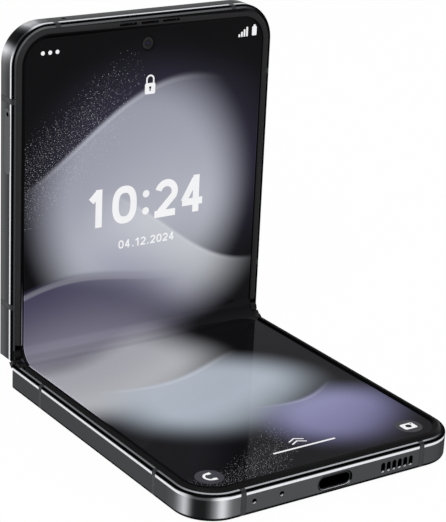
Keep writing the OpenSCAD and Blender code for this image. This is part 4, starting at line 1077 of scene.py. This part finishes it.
dress(back_paint(), "lower_back_glass")
dress(cover_glass_gloss(), "cover_glass")
dress(plain_metal("ring_metal", srgb(84, 86, 90), 0.2, EVEN, 0.06), "camera_rings")
low, high = [corner/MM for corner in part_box("camera_lenses")]
lens_r = (high.z - low.z)/2
lens_z = (high.z + low.z)/2
lens_middles = [(low.x + lens_r, lens_z), (high.x - lens_r, lens_z)]
dress(lens_coating("camera_lens_coating", lens_middles, srgb(36, 44, 96),
                   [(1.5, srgb(10, 11, 20)), (2.1, srgb(30, 32, 38)), (2.3, srgb(6, 6, 8)),
                    (3.6, srgb(26, 27, 31)), (3.8, srgb(5, 5, 7))]), "camera_lenses")
dress(plain_plastic("flash_milk", srgb(216, 210, 188), srgb(240, 236, 220), 0.3, 0.5, 0.3), "flash_lens")

# Studio
# A plain pale floor and a plain sky, a large soft lamp from the upper left and a weaker one
# from the right, and the camera at the left front, a little above the phone.

FLOOR_SIZE = 12.0
FLOOR_DROP = 0.00002
FLOOR_GLOW = 0.965
floor_mesh = bpy.data.meshes.new("floor")
reach = FLOOR_SIZE/2
floor_mesh.from_pydata([(-reach, -reach, 0), (reach, -reach, 0), (reach, reach, 0), (-reach, reach, 0)],
                       [], [(0, 1, 2, 3)])
floor = bpy.data.objects.new("floor", floor_mesh)
floor.location.z = -FLOOR_DROP
bpy.context.scene.collection.objects.link(floor)
floor_paint, tree = new_material("floor_paint")
rays = add(tree, "LightPath").outputs
seen = calc(tree, "ADD", rays["Is Camera Ray"], rays["Is Glossy Ray"], clamp=True)
seen = calc(tree, "ADD", seen, rays["Is Transmission Ray"], clamp=True)
share = calc(tree, "MULTIPLY", seen, FLOOR_GLOW)
matt = add(tree, "BsdfDiffuse", {"Color": srgb(240, 240, 240)}).outputs[0]
glow = add(tree, "Emission", {"Color": (1.0, 1.0, 1.0, 1.0), "Strength": 1.0}).outputs[0]
both = add(tree, "MixShader", {0: share, 1: matt, 2: glow}).outputs[0]
add(tree, "OutputMaterial", {"Surface": both})
floor_mesh.materials.append(floor_paint)

world = bpy.data.worlds.new("studio_sky")
bpy.context.scene.world = world
world.use_nodes = True
world.node_tree.nodes.clear()
tree = world.node_tree
direction = add(tree, "TexCoord").outputs["Generated"]
rise = add(tree, "SeparateXYZ", {0: direction}).outputs[2]
sky = mixed(tree, ramp(tree, rise, 0.03, 0.4), srgb(255, 255, 255), srgb(176, 176, 178))
sky = mixed(tree, ramp(tree, rise, 0.45, 0.8), sky, srgb(250, 250, 252))
background = add(tree, "Background", {"Color": sky, "Strength": 1.0}).outputs[0]
add(tree, "OutputWorld", {"Surface": background})


def soft_lamp(name, place, aim, size, power):
    lamp = bpy.data.lights.new(name, "AREA")
    lamp.shape = "RECTANGLE"
    lamp.size, lamp.size_y = size
    lamp.energy = power
    lamp_object = bpy.data.objects.new(name, lamp)
    lamp_object.location = place
    lamp_object.rotation_euler = (Vector(aim) - Vector(place)).to_track_quat("-Z", "Y").to_euler()
    bpy.context.scene.collection.objects.link(lamp_object)


soft_lamp("upper_left_lamp", (-0.45, -0.35, 0.55), (0, 0.02, 0.04), (0.4, 0.4), 2.0)
soft_lamp("right_lamp", (0.6, 0.1, 0.35), (0, 0.02, 0.04), (0.25, 0.5), 0.8)

PHOTO_SIZE = (446, 522)
CAMERA_TURN = math.radians(-34.773)
CAMERA_RISE = math.radians(20.840)
CAMERA_ROLL = math.radians(2.730)
CAMERA_DISTANCE = 0.490979
CAMERA_TARGET = Vector((0.026887, 0.043288, 0.014602))
FOCAL_PIXELS = 1906.143
PICTURE_MIDDLE = (224.441, 286.486)

back = Vector((math.sin(CAMERA_TURN)*math.cos(CAMERA_RISE), -math.cos(CAMERA_TURN)*math.cos(CAMERA_RISE),
               math.sin(CAMERA_RISE)))
right = Vector((0, 0, 1)).cross(back).normalized()
up = back.cross(right)
rolled_right = math.cos(CAMERA_ROLL)*right + math.sin(CAMERA_ROLL)*up
rolled_up = math.cos(CAMERA_ROLL)*up - math.sin(CAMERA_ROLL)*right
camera_data = bpy.data.cameras.new("camera")
camera = bpy.data.objects.new("camera", camera_data)
bpy.context.scene.collection.objects.link(camera)
turned = Matrix((rolled_right, rolled_up, back)).transposed().to_4x4()
camera.matrix_world = Matrix.Translation(CAMERA_TARGET + back*CAMERA_DISTANCE) @ turned
long_side = max(PHOTO_SIZE)
camera_data.lens = FOCAL_PIXELS*camera_data.sensor_width/long_side
camera_data.shift_x = (PHOTO_SIZE[0]/2 - PICTURE_MIDDLE[0])/long_side
camera_data.shift_y = (PICTURE_MIDDLE[1] - PHOTO_SIZE[1]/2)/long_side
camera_data.clip_start = 0.01
camera_data.clip_end = 50.0
bpy.context.scene.camera = camera

bpy.context.scene.view_settings.view_transform = "Standard"
